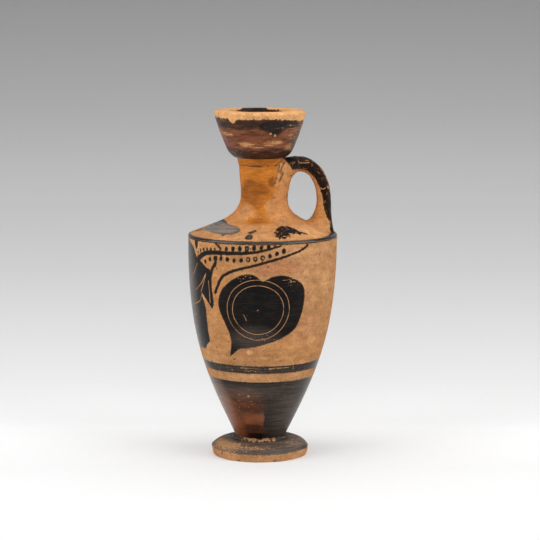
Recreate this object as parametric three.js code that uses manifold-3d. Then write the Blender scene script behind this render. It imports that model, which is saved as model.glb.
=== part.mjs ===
// Lekythos: a small oil flask of fired clay, made of thrown and pulled pieces luted together with slip.
// Millimetres, +Z up. The origin is on the floor under the middle of the body, and the handle points to +X.
import * as THREE from "three";
import { mergeVertices } from "three/addons/utils/BufferGeometryUtils.js";
import Module from "manifold-3d";

const wasm = await Module();
wasm.setup();

// Joints: slip between two flat faces, and the gap between faces that aren't flat
const slipFilm = 0.5;
const jointClearance = 0.3;

// Foot: a disc with an edge that leans in to the floor and a low domed top, dished round the joint and hollowed
// underneath
const footRadius = 20.85;
const footEdgeHeight = 3.5;
const footEdgeBatter = 0.5;
const footCrownHeight = 7.1;
const footCrownRadius = 14.5;
const footSeatDip = 0.1;
const footSeatRadius = 12.4;
const footDomeInset = 1.6;
const footDomeDrop = 0.9;
const footChamfer = 0.6;
const footHollowRadius = 14;
const footHollowDepth = 2.2;

// Bead of slip squeezed out round the foot joint
const beadWidth = 1.2;
const beadHeight = 0.7;

// Body: a straight taper that swells into a nearly upright wall
const bodyBaseRadius = 10.4;
const bodyRadius = 32.2;
const bodyHeight = 87.9;
const bodyWall = 4;
const bodyFloor = 5.5;
const bodyTaperAngle = THREE.MathUtils.degToRad(25.8);
const bodyTaperLength = 30.9;
const bodyUprightLength = 44;

// Shoulder: a cone that sweeps up into the neck, with a sharp edge over the body
const shoulderEdgeHeight = 0.7;
const shoulderSlope = THREE.MathUtils.degToRad(21.8);
const shoulderWall = 3.2;
const flareRadius = 20.7;
const flareLead = 8.8;
const flareUpright = 9.5;
const neckSeatRadius = 14.6;

// Neck: a waisted tube with a tenon at each end
const waistRadius = 9.35;
const waistRise = 20.9;
const neckTopRadius = 9.2;
const neckRise = 29.8;
const boreRadius = 5.5;
const tenonRadius = 7.4;
const lowerTenonLength = 3;
const upperTenonLength = 6;

// Collar of luting clay between the neck and the mouth
const collarHeight = 3.2;
const collarRadius = 9.7;

// Mouth: a cup with a rounded bottom, straight flaring sides and a broad flat rim
const mouthHeight = 20.4;
const mouthBaseRadius = 10.4;
const cupRadius = 14.9;
const cupRise = 5.4;
const cupTurnRise = 1.4;
const cupBulge = 0.35;
const rimRadius = 19.65;
const rimWidth = 6.8;
const lipRound = 1;
const funnelWaist = 11.5;

// Handle: a strap from the neck over to the shoulder
const handleThickness = 6.2;
const handleWidth = 11;
const handleSectionPower = 2.6;
const rootInset = 5;
const uprightInset = 1.1;
const springRise = 26.9;
const springLead = 11.5;
const springAngle = THREE.MathUtils.degToRad(34.4);
const uprightRise = 16.4;
const bendLength = 14;
const rootLength = 6;
const handleEmbed = 2;

// Luting clay pressed into the angles round the handle's ends: its length up the strap, and its spread
// along the wall on each side
const padLip = 0.5;
const topPad = { length: 8, inner: 12, outer: 1.2, side: 2 };
const rootPad = { length: 8, inner: 5.5, outer: 1, side: 3 };

// How far hand work has carried each height off the axis, towards the handle
const footLean = -1.75;
const baseLean = -1;
const neckLean = 0.4;
const collarLean = -0.9;
const mouthLean = -1.2;

// Facets
const turns = 40;
const sectionSides = 20;
const strapSteps = 30;

const clay = { color: 0xc48a55, roughness: 0.75, metalness: 0 };
const wash = { color: 0xb8752f, roughness: 0.6, metalness: 0 };
const gloss = { color: 0x3a2a24, roughness: 0.45, metalness: 0 };

// Heights, from the floor up
const footSeat = footCrownHeight - footSeatDip;
const bodyBottom = footSeat + slipFilm;
const bodyTop = bodyBottom + bodyHeight;
const shoulderBottom = bodyTop + slipFilm;
const shoulderEdge = shoulderBottom + shoulderEdgeHeight;
const flareBottom = shoulderEdge + (bodyRadius - flareRadius) * Math.tan(shoulderSlope);
const waist = shoulderEdge + waistRise;
const collarBottom = shoulderEdge + neckRise;
const mouthBottom = collarBottom + collarHeight;
const rim = mouthBottom + mouthHeight;
const holeRadius = tenonRadius + jointClearance;

// Reaches of the handle's middle line from the axis, stepped in from the shoulder's edge
const rootReach = bodyRadius - rootInset;
const uprightReach = rootReach - uprightInset;

const lean = new THREE.CubicInterpolant(
  [0, bodyBottom, shoulderEdge, (shoulderEdge + waist) / 2 + waistRise / 5, collarBottom, rim - cupRise, rim],
  [footLean, baseLean, 0, neckLean, collarLean, mouthLean, mouthLean],
  1,
);

const at = (radius, height) => new THREE.Vector2(radius, height);

// Radius of an outline at a height, where the outline climbs steadily.
function radiusAt(outline, height) {
  const next = outline.findIndex((p) => p.y >= height);
  const b = outline[Math.max(next, 1)];
  const a = outline[Math.max(next, 1) - 1];
  return THREE.MathUtils.mapLinear(height, a.y, b.y, a.x, b.x);
}

// Height of an outline at a radius, where the outline draws in steadily.
function heightAt(outline, radius) {
  const next = outline.findIndex((p) => p.x <= radius);
  const b = outline[Math.max(next, 1)];
  const a = outline[Math.max(next, 1) - 1];
  return THREE.MathUtils.mapLinear(radius, a.x, b.x, a.y, b.y);
}

// An outline moved by a distance to its right, as seen going along it.
function offset(outline, distance) {
  return outline.map((p, i) => {
    const before = outline[Math.max(i - 1, 0)];
    const after = outline[Math.min(i + 1, outline.length - 1)];
    const along = after.clone().sub(before).normalize();
    return at(p.x + along.y * distance, p.y - along.x * distance);
  });
}

function solidOf(geometry) {
  const bare = geometry.clone();
  bare.deleteAttribute("normal");
  bare.deleteAttribute("uv");
  const merged = mergeVertices(bare, 1e-4);
  return new wasm.Manifold(
    new wasm.Mesh({
      numProp: 3,
      vertProperties: merged.attributes.position.array,
      triVerts: new Uint32Array(merged.index.array),
    }),
  );
}

// A closed outline turned round the Z axis. It runs anticlockwise with the radius to the right.
function turned(outline) {
  const lathe = new THREE.LatheGeometry(outline, turns);
  lathe.rotateX(Math.PI / 2);
  return solidOf(lathe);
}

// A solid as a mesh, each height carried off the axis by the lean.
function piece(name, solid, finish) {
  const { numProp, numVert, vertProperties, triVerts } = solid.getMesh();
  const position = new Float32Array(numVert * 3);
  for (let i = 0; i < numVert; i += 1) {
    const [x, y, z] = vertProperties.subarray(i * numProp, i * numProp + 3);
    position.set([x + lean.evaluate(z)[0], y, z], i * 3);
  }
  const geometry = new THREE.BufferGeometry();
  geometry.setAttribute("position", new THREE.BufferAttribute(position, 3));
  geometry.setIndex(new THREE.BufferAttribute(new Uint32Array(triVerts), 1));
  geometry.computeVertexNormals();
  const mesh = new THREE.Mesh(geometry, new THREE.MeshStandardMaterial(finish));
  mesh.name = name;
  return mesh;
}

// Outer outlines, bottom to top
const bodyOutline = new THREE.CubicBezierCurve(
  at(bodyBaseRadius, bodyBottom),
  at(
    bodyBaseRadius + bodyTaperLength * Math.sin(bodyTaperAngle),
    bodyBottom + bodyTaperLength * Math.cos(bodyTaperAngle),
  ),
  at(bodyRadius, bodyTop - bodyUprightLength),
  at(bodyRadius, bodyTop),
).getPoints(16);

const flareOutline = new THREE.CubicBezierCurve(
  at(flareRadius, flareBottom),
  at(
    flareRadius - flareLead * Math.cos(shoulderSlope),
    flareBottom + flareLead * Math.sin(shoulderSlope),
  ),
  at(waistRadius, waist - flareUpright),
  at(waistRadius, waist),
).getPoints(16);
const neckSeat = heightAt(flareOutline, neckSeatRadius);
const neckBottom = neckSeat + slipFilm;

const upperNeckOutline = new THREE.QuadraticBezierCurve(
  at(waistRadius, waist),
  at(waistRadius, (waist + collarBottom) / 2),
  at(neckTopRadius, collarBottom),
).getPoints(5);

const cupTurn = mouthBottom + cupTurnRise;
const cupSlope = (rimRadius - cupRadius) / (mouthHeight - cupRise);
const mouthOutline = [
  ...new THREE.QuadraticBezierCurve(
    at(mouthBaseRadius, mouthBottom),
    at(cupRadius - cupSlope * (cupRise - cupTurnRise), cupTurn),
    at(cupRadius, mouthBottom + cupRise),
  ).getPoints(5),
  ...new THREE.QuadraticBezierCurve(
    at(cupRadius, mouthBottom + cupRise),
    at((cupRadius + rimRadius) / 2 + 2 * cupBulge, (mouthBottom + cupRise + rim - lipRound) / 2),
    at(rimRadius, rim - lipRound),
  )
    .getPoints(4)
    .slice(1),
  at(rimRadius - lipRound * (1 - Math.SQRT1_2), rim - lipRound * (1 - Math.SQRT1_2)),
  at(rimRadius - lipRound, rim),
];

function foot() {
  const dome = new THREE.QuadraticBezierCurve(
    at(footRadius, footEdgeHeight),
    at(footRadius - footDomeInset, footCrownHeight - footDomeDrop),
    at(footCrownRadius, footCrownHeight),
  );
  return turned([
    at(0, footHollowDepth),
    at(footHollowRadius, 0),
    at(footRadius - footEdgeBatter - footChamfer, 0),
    at(footRadius - footEdgeBatter, footChamfer),
    ...dome.getPoints(7),
    at(footSeatRadius, footSeat),
    at(0, footSeat),
  ]);
}

function footLuting() {
  const wallAtBead = radiusAt(bodyOutline, bodyBottom + beadHeight);
  return turned([
    at(0, footSeat),
    at(bodyBaseRadius + jointClearance + beadWidth, footSeat),
    at(wallAtBead + jointClearance + padLip, bodyBottom + beadHeight),
    at(wallAtBead + jointClearance, bodyBottom + beadHeight),
    at(bodyBaseRadius + jointClearance, bodyBottom),
    at(0, bodyBottom),
  ]);
}

function body() {
  const cavityFloor = bodyBottom + bodyFloor;
  const inner = offset(bodyOutline, -bodyWall).filter((p) => p.y > cavityFloor + bodyWall / 2);
  const floorRadius = Math.max(inner[0].x - bodyWall, bodyWall);
  return turned([
    at(0, bodyBottom),
    ...bodyOutline,
    at(bodyRadius - bodyWall, bodyTop),
    ...inner.filter((p) => p.y < bodyTop - jointClearance).reverse(),
    at(floorRadius, cavityFloor),
    at(0, cavityFloor),
  ]);
}

function shoulderLuting() {
  const innerRadius = bodyRadius - bodyWall;
  return turned([
    at(innerRadius, bodyTop),
    at(bodyRadius, bodyTop),
    at(bodyRadius, shoulderBottom),
    at(innerRadius, shoulderBottom),
    at(innerRadius, bodyTop),
  ]);
}

function shoulder() {
  const upperSide = [...flareOutline.filter((p) => p.x > neckSeatRadius), at(neckSeatRadius, neckSeat)];
  const underReach = shoulderWall - shoulderEdgeHeight;
  const underRadius = Math.min(bodyRadius - underReach / Math.tan(shoulderSlope), bodyRadius - bodyWall);
  return turned([
    at(underRadius, shoulderBottom),
    at(bodyRadius, shoulderBottom),
    at(bodyRadius, shoulderEdge),
    ...upperSide,
    at(holeRadius, neckSeat),
    at(holeRadius, neckSeat - shoulderWall),
    at(neckSeatRadius, neckSeat - shoulderWall),
    at(underRadius, shoulderBottom),
  ]);
}

function neckLuting() {
  return turned([
    at(holeRadius, neckSeat),
    at(neckSeatRadius, neckSeat),
    at(radiusAt(flareOutline, neckBottom), neckBottom),
    at(holeRadius, neckBottom),
    at(holeRadius, neckSeat),
  ]);
}

function neck() {
  const tenonBottom = neckSeat - lowerTenonLength;
  const tenonTop = collarBottom + upperTenonLength;
  return turned([
    at(boreRadius, tenonBottom),
    at(tenonRadius, tenonBottom),
    at(tenonRadius, neckBottom),
    at(radiusAt(flareOutline, neckBottom), neckBottom),
    ...flareOutline.filter((p) => p.y > neckBottom),
    ...upperNeckOutline.slice(1),
    at(tenonRadius, collarBottom),
    at(tenonRadius, tenonTop),
    at(boreRadius, tenonTop),
    at(boreRadius, tenonBottom),
  ]);
}

function mouthLuting() {
  return turned([
    at(holeRadius, collarBottom),
    at(neckTopRadius, collarBottom),
    at(collarRadius, collarBottom + collarHeight / 3),
    at(collarRadius, mouthBottom),
    at(holeRadius, mouthBottom),
    at(holeRadius, collarBottom),
  ]);
}

function mouth() {
  const innerRadius = rimRadius - rimWidth;
  const floor = collarBottom + upperTenonLength;
  const funnel = new THREE.QuadraticBezierCurve(
    at(innerRadius, rim),
    at(funnelWaist, (rim + floor) / 2 - cupRise),
    at(holeRadius, floor),
  );
  return turned([
    at(holeRadius, mouthBottom),
    ...mouthOutline,
    ...funnel.getPoints(7),
    at(holeRadius, mouthBottom),
  ]);
}

// The vessel's whole outside above the body as one solid, grown by a clearance.
function skin(clearance) {
  const outside = offset(
    [
      at(bodyRadius, shoulderBottom),
      at(bodyRadius, shoulderEdge),
      ...flareOutline,
      ...upperNeckOutline.slice(1),
      at(collarRadius, collarBottom + collarHeight / 3),
      at(collarRadius, mouthBottom),
      ...mouthOutline,
    ],
    clearance,
  );
  const lowest = shoulderBottom - shoulderWall;
  return turned([at(0, lowest), at(outside[0].x, lowest), ...outside, at(0, outside.at(-1).y)]);
}

// The strap's middle line, from inside the neck wall to inside the shoulder
const springStart = new THREE.Vector3(waistRadius - handleEmbed, 0, shoulderEdge + springRise);
const uprightTop = new THREE.Vector3(uprightReach, 0, shoulderEdge + uprightRise);
const rootHeight = shoulderEdge + (bodyRadius - rootReach) * Math.tan(shoulderSlope);
const rootEnd = new THREE.Vector3(rootReach, 0, rootHeight - handleEmbed);
const handlePath = new THREE.CurvePath();
handlePath.add(
  new THREE.CubicBezierCurve3(
    springStart,
    new THREE.Vector3(
      springStart.x + springLead * Math.cos(springAngle),
      0,
      springStart.z + springLead * Math.sin(springAngle),
    ),
    new THREE.Vector3(uprightReach, 0, uprightTop.z + bendLength),
    uprightTop,
  ),
);
handlePath.add(
  new THREE.CubicBezierCurve3(
    uprightTop,
    new THREE.Vector3(uprightReach, 0, uprightTop.z - rootLength),
    new THREE.Vector3(uprightReach, 0, rootEnd.z + rootLength),
    rootEnd,
  ),
);

// Direction across the middle line, away from the loop.
function outwardsAt(along) {
  const tangent = handlePath.getTangentAt(along);
  return new THREE.Vector3(-tangent.z, 0, tangent.x);
}

// A rounded section round a point of the middle line: outer is away from the loop, inner is into it.
function sectionRing(along, outwards, inner, outer, side) {
  const middle = handlePath.getPointAt(along);
  const squareness = 2 / handleSectionPower;
  return Array.from({ length: sectionSides }, (_, i) => {
    const turn = (i / sectionSides) * 2 * Math.PI;
    const across = Math.sign(Math.cos(turn)) * Math.abs(Math.cos(turn)) ** squareness;
    const aside = Math.sign(Math.sin(turn)) * Math.abs(Math.sin(turn)) ** squareness;
    const point = middle.clone().addScaledVector(outwards, across * (across > 0 ? outer : inner));
    point.y = aside * side;
    return point;
  });
}

// Rings of equal length joined into one closed solid with flat ends.
function loft(rings) {
  const points = rings.flat();
  const count = rings[0].length;
  const last = points.length - count;
  const faces = [];
  for (let r = 0; r + 1 < rings.length; r += 1) {
    for (let i = 0; i < count; i += 1) {
      const a = r * count + i;
      const b = r * count + ((i + 1) % count);
      faces.push(a, a + count, b, b, a + count, b + count);
    }
  }
  for (let i = 1; i + 1 < count; i += 1) {
    faces.push(0, i, i + 1, last, last + i + 1, last + i);
  }
  const geometry = new THREE.BufferGeometry().setFromPoints(points);
  geometry.setIndex(faces);
  return solidOf(geometry);
}

// The plain strap, grown all round by a clearance.
function strap(clearance) {
  const half = handleThickness / 2 + clearance;
  const rings = [];
  for (let i = 0; i <= strapSteps; i += 1) {
    const along = i / strapSteps;
    rings.push(sectionRing(along, outwardsAt(along), half, half, handleWidth / 2 + clearance));
  }
  return loft(rings);
}

// Share of the path where the strap comes out of the wall, looked for from one of its ends.
function wallCrossing(fromRoot) {
  const samples = 400;
  for (let i = 0; i <= samples; i += 1) {
    const along = fromRoot ? 1 - i / samples : i / samples;
    const p = handlePath.getPointAt(along);
    const wall = fromRoot ? rootHeight : waistRadius;
    const reach = fromRoot ? p.z : p.x;
    if (reach > wall) return along;
  }
  return fromRoot ? 1 : 0;
}

// A sleeve of luting clay round one end of the strap, hollowed to a quarter of an ellipse on each side.
// It lies along the wall at its foot and square to the strap at its lip.
function sleeve(fromRoot, pad, wallDirection) {
  const length = handlePath.getLength();
  const wall = wallCrossing(fromRoot);
  const steps = 7;
  const rings = [];
  for (let i = -2; i <= steps; i += 1) {
    const turn = (Math.max(i, 0) / steps) * (Math.PI / 2);
    const depth = i < 0 ? (i * handleEmbed) / 2 : pad.length * (1 - Math.cos(turn));
    const spread = 1 - Math.sin(turn);
    const along = THREE.MathUtils.clamp(wall + ((fromRoot ? -1 : 1) * depth) / length, 0, 1);
    const square = outwardsAt(along);
    const outwards = wallDirection.clone().lerp(square, Math.max(i, 0) / steps).normalize();
    const half = (handleThickness / 2 + jointClearance + padLip) / outwards.dot(square);
    rings.push(
      sectionRing(
        along,
        outwards,
        half + pad.inner * spread,
        half + pad.outer * spread,
        handleWidth / 2 + jointClearance + padLip + pad.side * spread,
      ),
    );
  }
  return loft(fromRoot ? rings.reverse() : rings);
}

const clearSkin = skin(jointClearance);
const handleSolid = strap(0).subtract(clearSkin);
const grownStrap = strap(jointClearance);
const upTheNeck = new THREE.Vector3(0, 0, 1);
const downTheShoulder = new THREE.Vector3(Math.cos(shoulderSlope), 0, -Math.sin(shoulderSlope));
const topSleeve = sleeve(false, topPad, upTheNeck).subtract(clearSkin).subtract(grownStrap);
const rootSleeve = sleeve(true, rootPad, downTheShoulder).subtract(clearSkin).subtract(grownStrap);

const lekythos = new THREE.Group();
lekythos.add(
  piece("foot", foot(), clay),
  piece("foot_luting", footLuting(), clay),
  piece("body", body(), clay),
  piece("shoulder_luting", shoulderLuting(), clay),
  piece("shoulder", shoulder(), clay),
  piece("neck_luting", neckLuting(), clay),
  piece("neck", neck(), wash),
  piece("mouth_luting", mouthLuting(), wash),
  piece("mouth", mouth(), gloss),
  piece("handle", handleSolid, gloss),
  piece("handle_top_luting", topSleeve, clay),
  piece("handle_root_luting", rootSleeve, clay),
);

export default lekythos;
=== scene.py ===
import math

import bpy
import numpy as np
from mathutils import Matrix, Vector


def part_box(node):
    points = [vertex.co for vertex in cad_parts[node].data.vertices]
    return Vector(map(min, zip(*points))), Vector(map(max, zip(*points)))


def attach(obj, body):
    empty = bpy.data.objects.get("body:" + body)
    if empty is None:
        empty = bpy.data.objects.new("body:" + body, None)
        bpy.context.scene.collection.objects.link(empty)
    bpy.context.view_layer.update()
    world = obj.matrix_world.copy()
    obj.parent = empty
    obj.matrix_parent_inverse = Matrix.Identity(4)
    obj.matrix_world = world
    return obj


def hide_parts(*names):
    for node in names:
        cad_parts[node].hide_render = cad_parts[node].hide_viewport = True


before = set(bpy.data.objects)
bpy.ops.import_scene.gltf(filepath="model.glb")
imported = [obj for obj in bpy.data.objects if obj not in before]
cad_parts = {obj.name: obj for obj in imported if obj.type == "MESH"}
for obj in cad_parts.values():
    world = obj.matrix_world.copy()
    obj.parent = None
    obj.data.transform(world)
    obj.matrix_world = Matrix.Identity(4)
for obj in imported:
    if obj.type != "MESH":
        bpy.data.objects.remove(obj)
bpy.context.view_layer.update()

bl_info = {
    "name": "Painted Oil Flask",
    "version": (1, 0, 0),
    "blender": (4, 5, 0),
    "location": "View3D > Sidebar > Oil Flask",
    "description": "Turns, joins and paints a black-figure oil flask round its packed solids",
    "category": "Object",
}

# Sizes and places are written in millimetres, as on a potter's drawing. Meshes are in metres.
MM = 0.001


def reach(node):
    """Half of a node's width from side to side, in millimetres."""
    low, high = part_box(node)
    return (high.y - low.y) / 2 / MM


def levels(node):
    """A node's lowest and highest point, in millimetres."""
    low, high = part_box(node)
    return low.z / MM, high.z / MM


def middle(node):
    """How far a node's middle stands off the axis, in millimetres."""
    low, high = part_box(node)
    return (low.x + high.x) / 2 / MM


def tint(red, green, blue):
    """Linear colour for the 0 to 255 values of a colour picker."""
    return tuple(((part / 255 + 0.055) / 1.055) ** 2.4 for part in (red, green, blue))


SLIP_FILM = 0.5          # thickness of the slip in a level joint
TENON_RADIUS = 7.4
SOCKET_RADIUS = 7.7
BORE_LIMIT = 8.2         # what lies within this radius is inside the neck
FOOT_BOTTOM, FOOT_TOP = levels("foot")
BODY_BOTTOM, BODY_TOP = levels("body")
SHOULDER_BOTTOM = levels("shoulder")[0]
TENON_BOTTOM, TENON_TOP = levels("neck")
COLLAR_BOTTOM, COLLAR_TOP = levels("mouth_luting")
MOUTH_BOTTOM, MOUTH_TOP = levels("mouth")
FOOT_SEAT = BODY_BOTTOM - SLIP_FILM
SHOULDER_EDGE = SHOULDER_BOTTOM + 0.7

# The flask was thrown a little out of true: how far the axis stands off at some heights
LEAN_HEIGHTS = (FOOT_BOTTOM, BODY_BOTTOM, SHOULDER_BOTTOM, 111.0, COLLAR_BOTTOM, 144.6, MOUTH_TOP)
LEAN_SHIFTS = (middle("foot"), middle("foot_luting"), 0.0, 0.4, middle("mouth_luting"), middle("mouth"),
               middle("mouth"))


def length_property(name, description, default, smallest):
    """One length that a user may change, given here in millimetres."""
    return bpy.props.FloatProperty(
        name=name, description=description, default=default * MM, min=smallest * MM, unit="LENGTH")


class FlaskSizes(bpy.types.PropertyGroup):
    """Sizes that a potter would change."""

    foot_radius: length_property("Foot radius", "Widest radius of the foot disc", reach("foot"), 15)
    foot_edge: length_property("Foot edge", "Height of the foot's edge, where the disc is widest", 3.5, 1)
    body_radius: length_property("Body radius", "Radius of the body under the shoulder", reach("body"), 20)
    wall: length_property("Wall", "Thickness of the body's wall", 4, 2)
    waist_radius: length_property("Waist radius", "Radius of the neck where it is narrowest", 9.35, 8)
    bore: length_property("Bore", "Radius of the channel through the neck", 5.5, 2)
    mouth_radius: length_property("Mouth radius", "Outer radius of the mouth at its lip", reach("mouth"), 15)
    rim_width: length_property("Rim width", "Width of the flat rim on the mouth", 6.8, 2)
    strap_width: length_property("Strap width", "Width of the handle strap", 11, 4)
    strap_thickness: length_property("Strap thickness", "Thickness of the handle strap", 6.2, 2)


def colour_property(name, description, default):
    """One colour that a user may change."""
    return bpy.props.FloatVectorProperty(
        name=name, description=description, default=default, subtype="COLOR", size=3, min=0.0, max=1.0)


class FlaskColours(bpy.types.PropertyGroup):
    """Colours of the fired clay and of its slips."""

    clay: colour_property("Clay", "Bare fired clay", tint(172, 124, 81))
    pale_clay: colour_property("Pale clay", "Paler patches of bare clay", tint(187, 139, 96))
    stained_clay: colour_property("Stained clay", "Stains and soil in the clay", tint(146, 102, 68))
    pink_clay: colour_property("Pink clay", "Patches that the kiln turned pink", tint(172, 113, 78))
    gloss: colour_property("Gloss", "Black gloss where it is thick", tint(10, 9, 9))
    thin_gloss: colour_property("Thin gloss", "Black gloss where it is thin or rubbed", tint(60, 46, 34))
    misfired: colour_property("Misfired gloss", "Gloss that the kiln turned red", tint(124, 70, 42))
    # This grey stands for dust and rubbing, and also for painted sheen where light grazes the gloss.
    dusty_gloss: colour_property("Dusty gloss", "Black gloss greyed by rubbing and dust", tint(140, 125, 114))
    ochre: colour_property("Ochre", "Wash on the neck", tint(184, 109, 33))
    dark_ochre: colour_property("Dark ochre", "Thicker smears of the wash", tint(130, 70, 18))
    golden_clay: colour_property("Golden clay", "Bare clay with a trace of the wash", tint(198, 134, 76))
    # Bright clay also paints a highlight: on the rim's top, lit from above, and in part on the crests of the
    # luting ridges.
    bright_clay: colour_property("Bright clay", "Fresh pale clay on chips and the rim", tint(224, 170, 114))
    cream: colour_property("Cream", "Pale clay that shows through scratches", tint(190, 148, 110))


# Outlines of the turned pieces: strokes of radius and height


def straight(start, end, rows=1):
    """A straight stroke."""
    start, end = np.array(start, float), np.array(end, float)
    return start, start + (end - start) / 3, end - (end - start) / 3, end, rows


def bend(start, corner, end, rows):
    """A stroke that leaves start and reaches end in line with one corner."""
    start, corner, end = np.array(start, float), np.array(corner, float), np.array(end, float)
    return start, start + (corner - start) * 2 / 3, end + (corner - end) * 2 / 3, end, rows


def swell(start, lead, trail, end, rows):
    """A stroke with two handles."""
    return np.array(start, float), np.array(lead, float), np.array(trail, float), np.array(end, float), rows


class Outline:
    """Strokes drawn one after the other, each from where the last one ended."""

    def __init__(self, *start):
        self.place, self.strokes = start, []

    def add(self, *strokes):
        """Strokes that are ready."""
        self.strokes.extend(strokes)
        self.place = strokes[-1][3]
        return self

    def to(self, end, rows=1):
        """A straight stroke to a place."""
        return self.add(straight(self.place, end, rows))

    def round(self, corner, end, rows):
        """A bent stroke to a place."""
        return self.add(bend(self.place, corner, end, rows))


def stroke_part(stroke, begin, finish, rows):
    """The part of a stroke between two fractions of it."""
    start, lead, trail, end, _ = stroke

    def blossom(first, second, third):
        """The stroke's polar form, which gives the handles of any part."""
        def between(low, high, fraction):
            return low + (high - low) * fraction
        one = between(start, lead, first), between(lead, trail, first), between(trail, end, first)
        two = between(one[0], one[1], second), between(one[1], one[2], second)
        return between(two[0], two[1], third)

    return (blossom(begin, begin, begin), blossom(begin, begin, finish), blossom(begin, finish, finish),
            blossom(finish, finish, finish), rows)


def stroke_points(stroke, count=80):
    """Places along a stroke, for reading a radius or a height off it."""
    start, lead, trail, end, _ = stroke
    along = np.linspace(0, 1, count)[:, None]
    back = 1 - along
    return (start * back ** 3 + 3 * lead * along * back ** 2 + 3 * trail * along ** 2 * back
            + end * along ** 3)


NECK_SEAT = 0.3          # fraction of the flare where the neck is set on the shoulder
CONE_TOP = (20.7, 101.2)  # radius and height where the shoulder starts to flare up into the neck
WAIST_HEIGHT = 117.5
NECK_BEND = 121.95      # height of the corner that the neck's upper outline bends round
NECK_TOP_RADIUS = 9.2


def flare(sizes):
    """The hollow curve that carries the shoulder up into the neck."""
    waist = sizes.waist_radius / MM
    return swell(CONE_TOP, (12.53, 104.47), (waist, 108.0), (waist, WAIST_HEIGHT), 1)


def shoulder_height(sizes, radius):
    """Height of the shoulder's top at a radius."""
    points = np.vstack([[(sizes.body_radius / MM, SHOULDER_EDGE)], stroke_points(flare(sizes))])
    return np.interp(radius, points[::-1, 0], points[::-1, 1])


def neck_radius(sizes, height):
    """Radius of the neck at a height."""
    waist = sizes.waist_radius / MM
    upper = bend((waist, WAIST_HEIGHT), (waist, NECK_BEND), (NECK_TOP_RADIUS, COLLAR_BOTTOM), 1)
    points = np.vstack([stroke_points(flare(sizes)), stroke_points(upper)[1:]])
    return np.interp(height, points[:, 1], points[:, 0])


# Modelling


def start_clean():
    """Leave nothing selected, so that the next operator acts on its own piece alone."""
    bpy.ops.object.select_all(action="DESELECT")


def turn(name, outline, steps):
    """Draw an outline and turn it round the axis into a closed mesh."""
    start_clean()
    bpy.ops.curve.primitive_bezier_curve_add()
    piece = bpy.context.object
    piece.name = name
    piece.data.name = name
    piece.data.splines.clear()
    for start, lead, trail, end, rows in outline.strokes:
        spline = piece.data.splines.new("BEZIER")
        spline.bezier_points.add(1)
        spline.resolution_u = rows
        ends = zip(spline.bezier_points, (start, end), (start, trail), (lead, end))
        for point, place, left, right in ends:
            point.handle_left_type = "FREE"
            point.handle_right_type = "FREE"
            point.co = (place[0] * MM, 0, place[1] * MM)
            point.handle_left = (left[0] * MM, 0, left[1] * MM)
            point.handle_right = (right[0] * MM, 0, right[1] * MM)
    bpy.ops.object.convert(target="MESH")
    piece = bpy.context.object
    screw = piece.modifiers.new("wheel", "SCREW")
    screw.axis = "Z"
    screw.angle = math.tau
    screw.steps = steps
    screw.render_steps = steps
    bpy.ops.object.modifier_apply(modifier=screw.name)
    close_up()
    return piece


def close_up():
    """Merge the seams of the piece in hand and turn its faces outwards."""
    bpy.ops.object.mode_set(mode="EDIT")
    bpy.ops.mesh.select_all(action="SELECT")
    bpy.ops.mesh.remove_doubles(threshold=0.001 * MM)
    bpy.ops.mesh.normals_make_consistent(inside=False)
    bpy.ops.object.mode_set(mode="OBJECT")


def roll_tube(name, rings):
    """Roll a sheet into a tube through rings of points, and close its two ends."""
    count, around = rings.shape[:2]
    start_clean()
    bpy.ops.mesh.primitive_grid_add(x_subdivisions=around, y_subdivisions=count - 1, size=1)
    piece = bpy.context.object
    piece.name = name
    piece.data.name = name
    sheet = read_points(piece) * MM
    ring = np.rint((sheet[:, 1] + 0.5) * (count - 1)).astype(int)
    place = np.rint((sheet[:, 0] + 0.5) * around).astype(int) % around
    write_points(piece, rings[ring, place])
    write_fields(piece, ring=ring, place=place)
    close_up()
    bpy.ops.object.mode_set(mode="EDIT")
    bpy.ops.mesh.select_all(action="SELECT")
    bpy.ops.mesh.fill_holes(sides=0)
    bpy.ops.mesh.select_all(action="SELECT")
    bpy.ops.mesh.normals_make_consistent(inside=False)
    bpy.ops.object.mode_set(mode="OBJECT")
    ring, place = take_field(piece, "ring"), take_field(piece, "place")
    return piece, ring, place


def take_field(piece, name):
    """Read whole numbers kept for each point, and drop them from the mesh."""
    field = piece.data.attributes[name]
    values = np.empty(len(piece.data.vertices), np.float32)
    field.data.foreach_get("value", values)
    piece.data.attributes.remove(field)
    return np.rint(values).astype(int)


def read_points(piece):
    """A mesh's points, in millimetres."""
    points = np.empty(len(piece.data.vertices) * 3)
    piece.data.vertices.foreach_get("co", points)
    return points.reshape(-1, 3) / MM


def write_points(piece, points):
    """Move a mesh's points to places in millimetres."""
    piece.data.vertices.foreach_set("co", (points * MM).ravel())
    piece.data.update()


def write_fields(piece, **fields):
    """Keep numbers for each point, which the materials read."""
    for name, values in fields.items():
        field = piece.data.attributes.new(name, "FLOAT", "POINT")
        spread = np.broadcast_to(values, len(piece.data.vertices))
        field.data.foreach_set("value", np.ascontiguousarray(spread, dtype=np.float32))


def lean(heights):
    """How far the axis stands off at each height, eased between the places where it was read."""
    lowest, highest, step, half_window = -20.0, 171.0, 0.5, 9
    grid = np.arange(lowest, highest, step)
    stiff = np.interp(grid, LEAN_HEIGHTS, LEAN_SHIFTS)
    window = np.hanning(2 * half_window + 1)
    eased = np.convolve(np.pad(stiff, half_window, mode="edge"), window / window.sum(), mode="valid")
    return np.interp(heights, grid, eased)


def lean_over(piece):
    """Shift a straight piece off the axis as the whole flask leans."""
    points = read_points(piece)
    points[:, 0] += lean(points[:, 2])
    write_points(piece, points)


def displace(piece, texture, strength, floor, group=""):
    """Push a mesh in or out by a texture and apply it."""
    start_clean()
    piece.select_set(True)
    bpy.context.view_layer.objects.active = piece
    modifier = piece.modifiers.new("handwork", "DISPLACE")
    modifier.texture = texture
    modifier.texture_coords = "LOCAL"
    modifier.strength = strength * MM
    modifier.mid_level = floor
    modifier.vertex_group = group
    bpy.ops.object.modifier_apply(modifier=modifier.name)


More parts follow.
